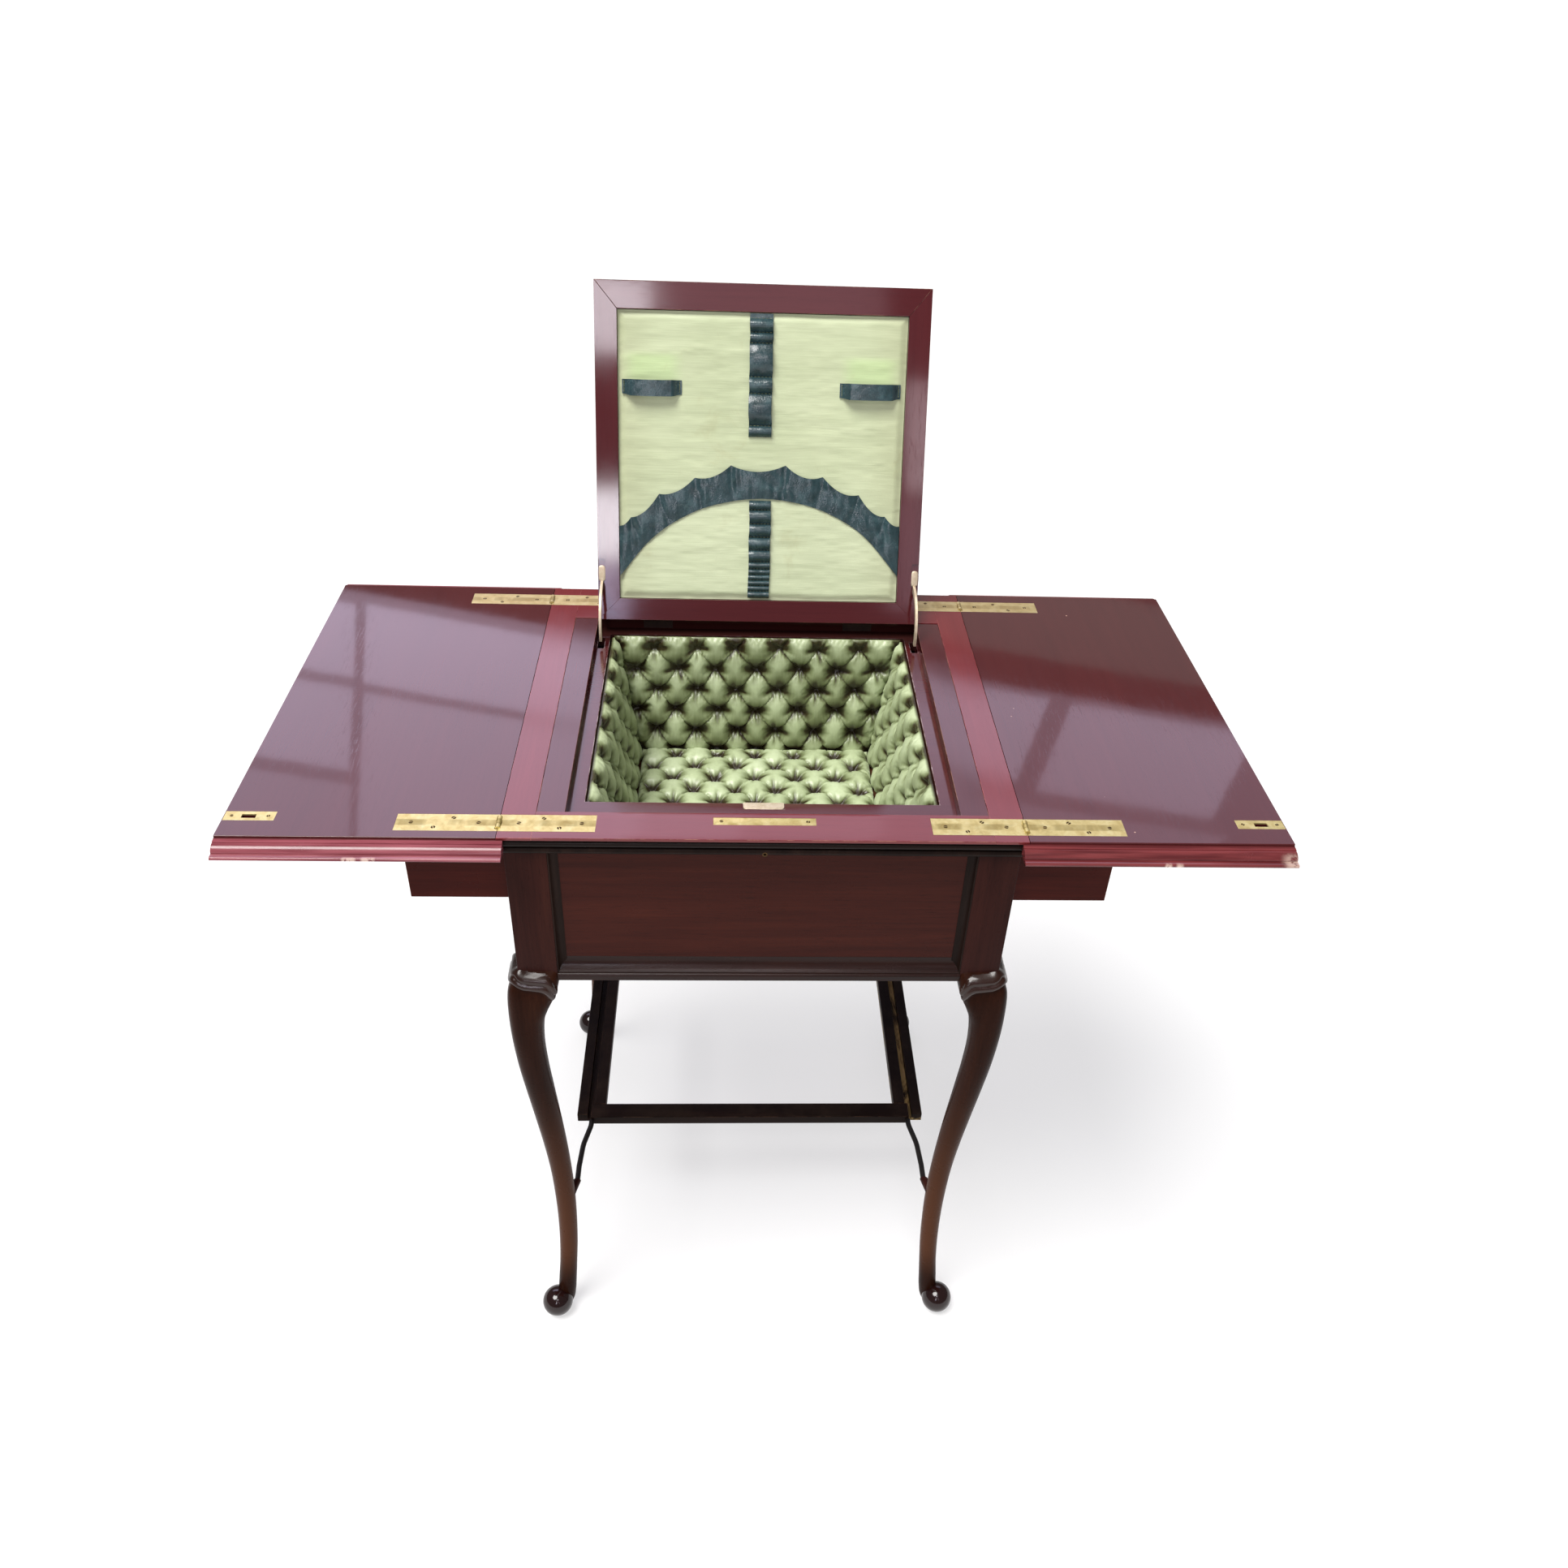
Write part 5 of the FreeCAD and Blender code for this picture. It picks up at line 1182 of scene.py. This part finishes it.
top_marks = [318.0, 313.6, 300.0, 289.5, 256.0, 239.5, 207.0, 195.5]
low_marks = [130.0, 120.4, 105.6, 91.6, 78.0, 65.3, 57.7, 51.7, 45.8, 39.9, 33.9, 26.5]
strap("lid_strap_upper.looped", -14, 10, top_marks, [0.0, 6.4, 4.6, 7.0, 6.0, 7.0, 4.4], ("lid_strap_loops",))
strap("lid_strap_lower.looped", -12, 11, low_marks, [4.4, 5.2, 5.0, 5.0, 4.6, 3.4, 3.0, 3.0, 3.0, 3.0, 3.4])


def side_loop(name, x0, x1, u0, u1, lift):
    t = np.linspace(0, 1, 90)[:, None]
    k = np.linspace(0, 1, 20)[None, :]
    rise = smooth01((np.minimum(t, 1 - t) - 0.02) / 0.15)
    w_ = 1.4 + lift * rise * (0.70 + 0.30 * np.sin(math.pi * t)) + 0.25 * value_noise(t * 60, k * 20, 23, 7.0)
    u_ = u0 + (u1 - u0) * k - 1.8 * rise * (1 - k) - 0.6 * np.sin(math.pi * t)
    return lid_slab(name, x0 + (x1 - x0) * t + 0 * k, u_, w_ + 0 * k, 1.5, LEATHER)


side_loop("lid_loop_left.raised", -146, -84, 236.2, 250.6, 8.5)
side_loop("lid_loop_right.raised", 81, 145, 237.2, 251.6, 8.5)


def stitches(name, rows):
    """Short thread stitches: (x, u, w, dx, du) half lengths."""
    vs, fs = [], []
    base = 0
    na, nl = 8, 7
    for x, u, w0, dx, du in rows:
        L = math.hypot(dx, du)
        ex, eu = dx / L, du / L
        t = np.linspace(-1, 1, nl)
        r = 0.42 * np.sqrt(np.clip(1 - t ** 2 * 0.96, 0, 1))
        a = np.linspace(0, 2 * math.pi, na, endpoint=False)
        off = r[:, None] * np.cos(a)
        pw = w0 + 0.35 * (1 - t[:, None] ** 2) + r[:, None] * np.sin(a)
        px = x + t[:, None] * dx - eu * off
        pu = u + t[:, None] * du + ex * off
        vs.append(lid_point(px, pu, pw).reshape(-1, 3))
        i, j = np.meshgrid(np.arange(nl - 1), np.arange(na), indexing="ij")
        fs.append(base + np.stack([i * na + j, (i + 1) * na + j, (i + 1) * na + (j + 1) % na, i * na + (j + 1) % na], -1).reshape(-1, 4))
        base += nl * na
    me = from_arrays(name, np.concatenate(vs), np.concatenate(fs), 80.0)
    return new_object(name, me, THREAD, "lid")


rows = []
for m_ in top_marks[1:-1]:
    rows += [(x, m_ - 0.2, 1.6, 1.5, 0.0) for x in np.linspace(-11.5, 7.5, 6)]
for m_ in low_marks[1:]:
    rows += [(x, m_ + 0.2, 1.6, 1.5, 0.0) for x in np.linspace(-9.5, 8.5, 6)]
for x0, x1, u0, u1 in ((-146, -84, 236.2, 250.6), (81, 145, 237.2, 251.6)):
    for x in (x0 + 2.2, x1 - 2.2):
        rows += [(x, u, 1.5, 0.0, 1.4) for u in np.linspace(u0 + 2.5, u1 - 2.5, 5)]
stitches("lid_stitching", rows)


# ------------------------------------------------------------------ floor, light and camera
floor_me = bpy.data.meshes.new("floor")
floor_me.from_pydata([(-70, -70, 0), (70, -70, 0), (70, 70, 0), (-70, 70, 0)], [], [(0, 1, 2, 3)])
floor = bpy.data.objects.new("floor", floor_me)
floor.location = (0, 0, -0.0004)
scene.collection.objects.link(floor)
fl = Look("floor_pale")
fp = fl.coord()
fl.set(color=fl.ramp(fl.noise(fp, 1.5, 3.0), [(0.3, (0.40, 0.40, 0.40, 1)), (0.7, (0.42, 0.42, 0.42, 1))]), rough=0.9, spec=0.0)
fl.b.inputs["Emission Color"].default_value = (1.0, 1.0, 1.0, 1.0)      # a pale floor lit from below as well, so that shadows stay light
fl.b.inputs["Emission Strength"].default_value = 0.58
floor_me.materials.append(fl.m)
ring = [(65 * math.cos(2 * math.pi * i / 96), 65 * math.sin(2 * math.pi * i / 96)) for i in range(96)]
back_me = bpy.data.meshes.new("backdrop")
back_me.from_pydata([(x, y, z) for z in (-0.5, 60.0) for x, y in ring], [], [(i, (i + 1) % 96, 96 + (i + 1) % 96, 96 + i) for i in range(96)])
backdrop = bpy.data.objects.new("backdrop", back_me)
scene.collection.objects.link(backdrop)
bk = Look("backdrop_pale")
bk.b.inputs["Base Color"].default_value = (0.0, 0.0, 0.0, 1.0)
bk.b.inputs["Specular IOR Level"].default_value = 0.0
bk.b.inputs["Emission Color"].default_value = (1.0, 1.0, 1.0, 1.0)
bk.b.inputs["Emission Strength"].default_value = 1.0
back_me.materials.append(bk.m)
backdrop.visible_diffuse = backdrop.visible_glossy = backdrop.visible_shadow = False      # it lights nothing


def area(name, loc, aim, sx, sy, power, color=(1, 1, 1)):
    d = bpy.data.lights.new(name, "AREA")
    d.shape = "RECTANGLE"
    d.size, d.size_y = sx, sy
    d.energy = power
    d.color = color
    o = bpy.data.objects.new(name, d)
    o.location = loc
    o.rotation_mode = "QUATERNION"
    o.rotation_quaternion = (Vector(aim) - Vector(loc)).to_track_quat("-Z", "Y")
    scene.collection.objects.link(o)
    return o


def panel(name, centre, tilt, sx, sy, power, color):
    """An upright soft panel behind the table, facing it, turned by tilt in its own plane."""
    o = area(name, centre, (centre[0], centre[1] - 1, centre[2]), sx, sy, power, color)
    c, s_ = math.cos(tilt), math.sin(tilt)
    o.rotation_quaternion = Matrix(((-c, -s_, 0), (0, 0, 1), (-s_, c, 0))).to_quaternion()
    return o


def sun(name, toward, strength, angle, color):
    d = bpy.data.lights.new(name, "SUN")
    d.energy, d.angle, d.color = strength, math.radians(angle), color
    o = bpy.data.objects.new(name, d)
    o.rotation_mode = "QUATERNION"
    o.rotation_quaternion = (-Vector(toward)).to_track_quat("-Z", "Y")
    o.location = Vector(toward) * 3
    scene.collection.objects.link(o)
    return o


def bank(name, x, z, wide, high, radiance, tilt=11.3, color=(0.80, 0.75, 1.0)):
    """One of the bank of soft panels behind the table."""
    y = 2.64 if high > 1.0 else 2.6                      # the wide ones stand behind the others
    return panel(name, (x, y, z), math.radians(tilt), wide, high, radiance * math.pi * wide * high, color)


def card(name, x, z, wide, high, radiance, color):
    """A small card in front of the table, for the gloss on the raised lid."""
    return area(name, (x, -2.9, z), (x, 0, z), wide, high, radiance * math.pi * wide * high, color)


lights = [sun("key_overhead", (-0.30, -0.20, 0.93), 4.0, 32.0, (1.0, 0.985, 0.96)),
          bank("bank_left", -1.35, 2.81, 2.80, 1.60, 1.65, 10.8),
          bank("bank_left_a1", -1.713, 2.093, 0.930, 0.285, 2.00),
          bank("bank_left_b1", -0.728, 2.293, 1.015, 0.31, 2.05),
          bank("bank_left_a2", -1.773, 2.450, 0.912, 0.355, 1.85),
          bank("bank_left_b2", -0.852, 2.912, 1.004, 0.88, 1.68),
          bank("bank_left_a3", -1.856, 2.895, 0.915, 0.43, 1.10),
          bank("bank_right", 1.22, 3.05, 2.60, 1.30, 1.05, 10.2),
          bank("bank_right_a", 0.80, 2.50, 0.54, 0.36, 1.55, 10.2),
          bank("bank_right_b", 1.49, 2.64, 0.70, 0.39, 1.40, 10.2),
          bank("bank_right_c", 1.20, 3.08, 1.30, 0.44, 0.68, 10.2),
          bank("bank_right_rear", 1.15, 2.09, 1.90, 0.27, 0.33, 10.2, (0.70, 1.0, 0.95)),
          bank("bank_middle", 0.18, 2.96, 1.25, 0.44, 1.2, 0.0, (0.90, 0.78, 1.0)),
          card("card_high", -0.49, 2.585, 0.34, 0.35, 13.0, (0.98, 0.93, 1.0)),
          card("card_mid", -0.48, 1.775, 0.32, 0.26, 20.0, (0.96, 0.94, 1.0)),
          card("card_low", -0.51, 1.52, 0.27, 0.24, 7.0, (0.72, 0.70, 1.0)),
          card("card_wide", 0.10, 2.62, 0.90, 0.50, 1.3, (1.0, 0.78, 0.88)),
          card("card_right", 0.67, 2.12, 0.14, 0.42, 5.0, (1.0, 0.84, 0.90)),
          card("card_right_low", 0.67, 1.68, 0.24, 0.40, 1.6, (1.0, 0.80, 0.95)),
          area("card_near", (0.0, -1.9, 2.75), (0.0, -0.2, 0.3), 0.60, 0.30, 13.0 * math.pi * 0.18, (1.0, 0.95, 0.98))]
world = bpy.data.worlds.new("studio")
scene.world = world
world.use_nodes = True
bg = world.node_tree.nodes["Background"]
bg.inputs[0].default_value = (1.0, 1.0, 1.0, 1.0)
bg.inputs[1].default_value = 0.20

yaw, pitch, roll = (math.radians(a) for a in (3.47717, 36.37705, -2.65593))
fwd = Vector((math.sin(yaw) * math.cos(pitch), math.cos(yaw) * math.cos(pitch), -math.sin(pitch)))
right = Vector((math.cos(yaw), -math.sin(yaw), 0))
down = fwd.cross(right)
r2 = math.cos(roll) * right + math.sin(roll) * down
d2 = -math.sin(roll) * right + math.cos(roll) * down
cam_d = bpy.data.cameras.new("camera")
cam_d.sensor_width = 36.0
cam_d.lens = 1548.839 / 1932 * 36.0
cam = bpy.data.objects.new("camera", cam_d)
cam.matrix_world = Matrix.Translation(Vector((-37.359, -1065.08, 1404.469)) * MM) @ Matrix((r2, -d2, -fwd)).transposed().to_4x4()
scene.collection.objects.link(cam)
scene.camera = cam
scene.view_settings.view_transform = "Standard"
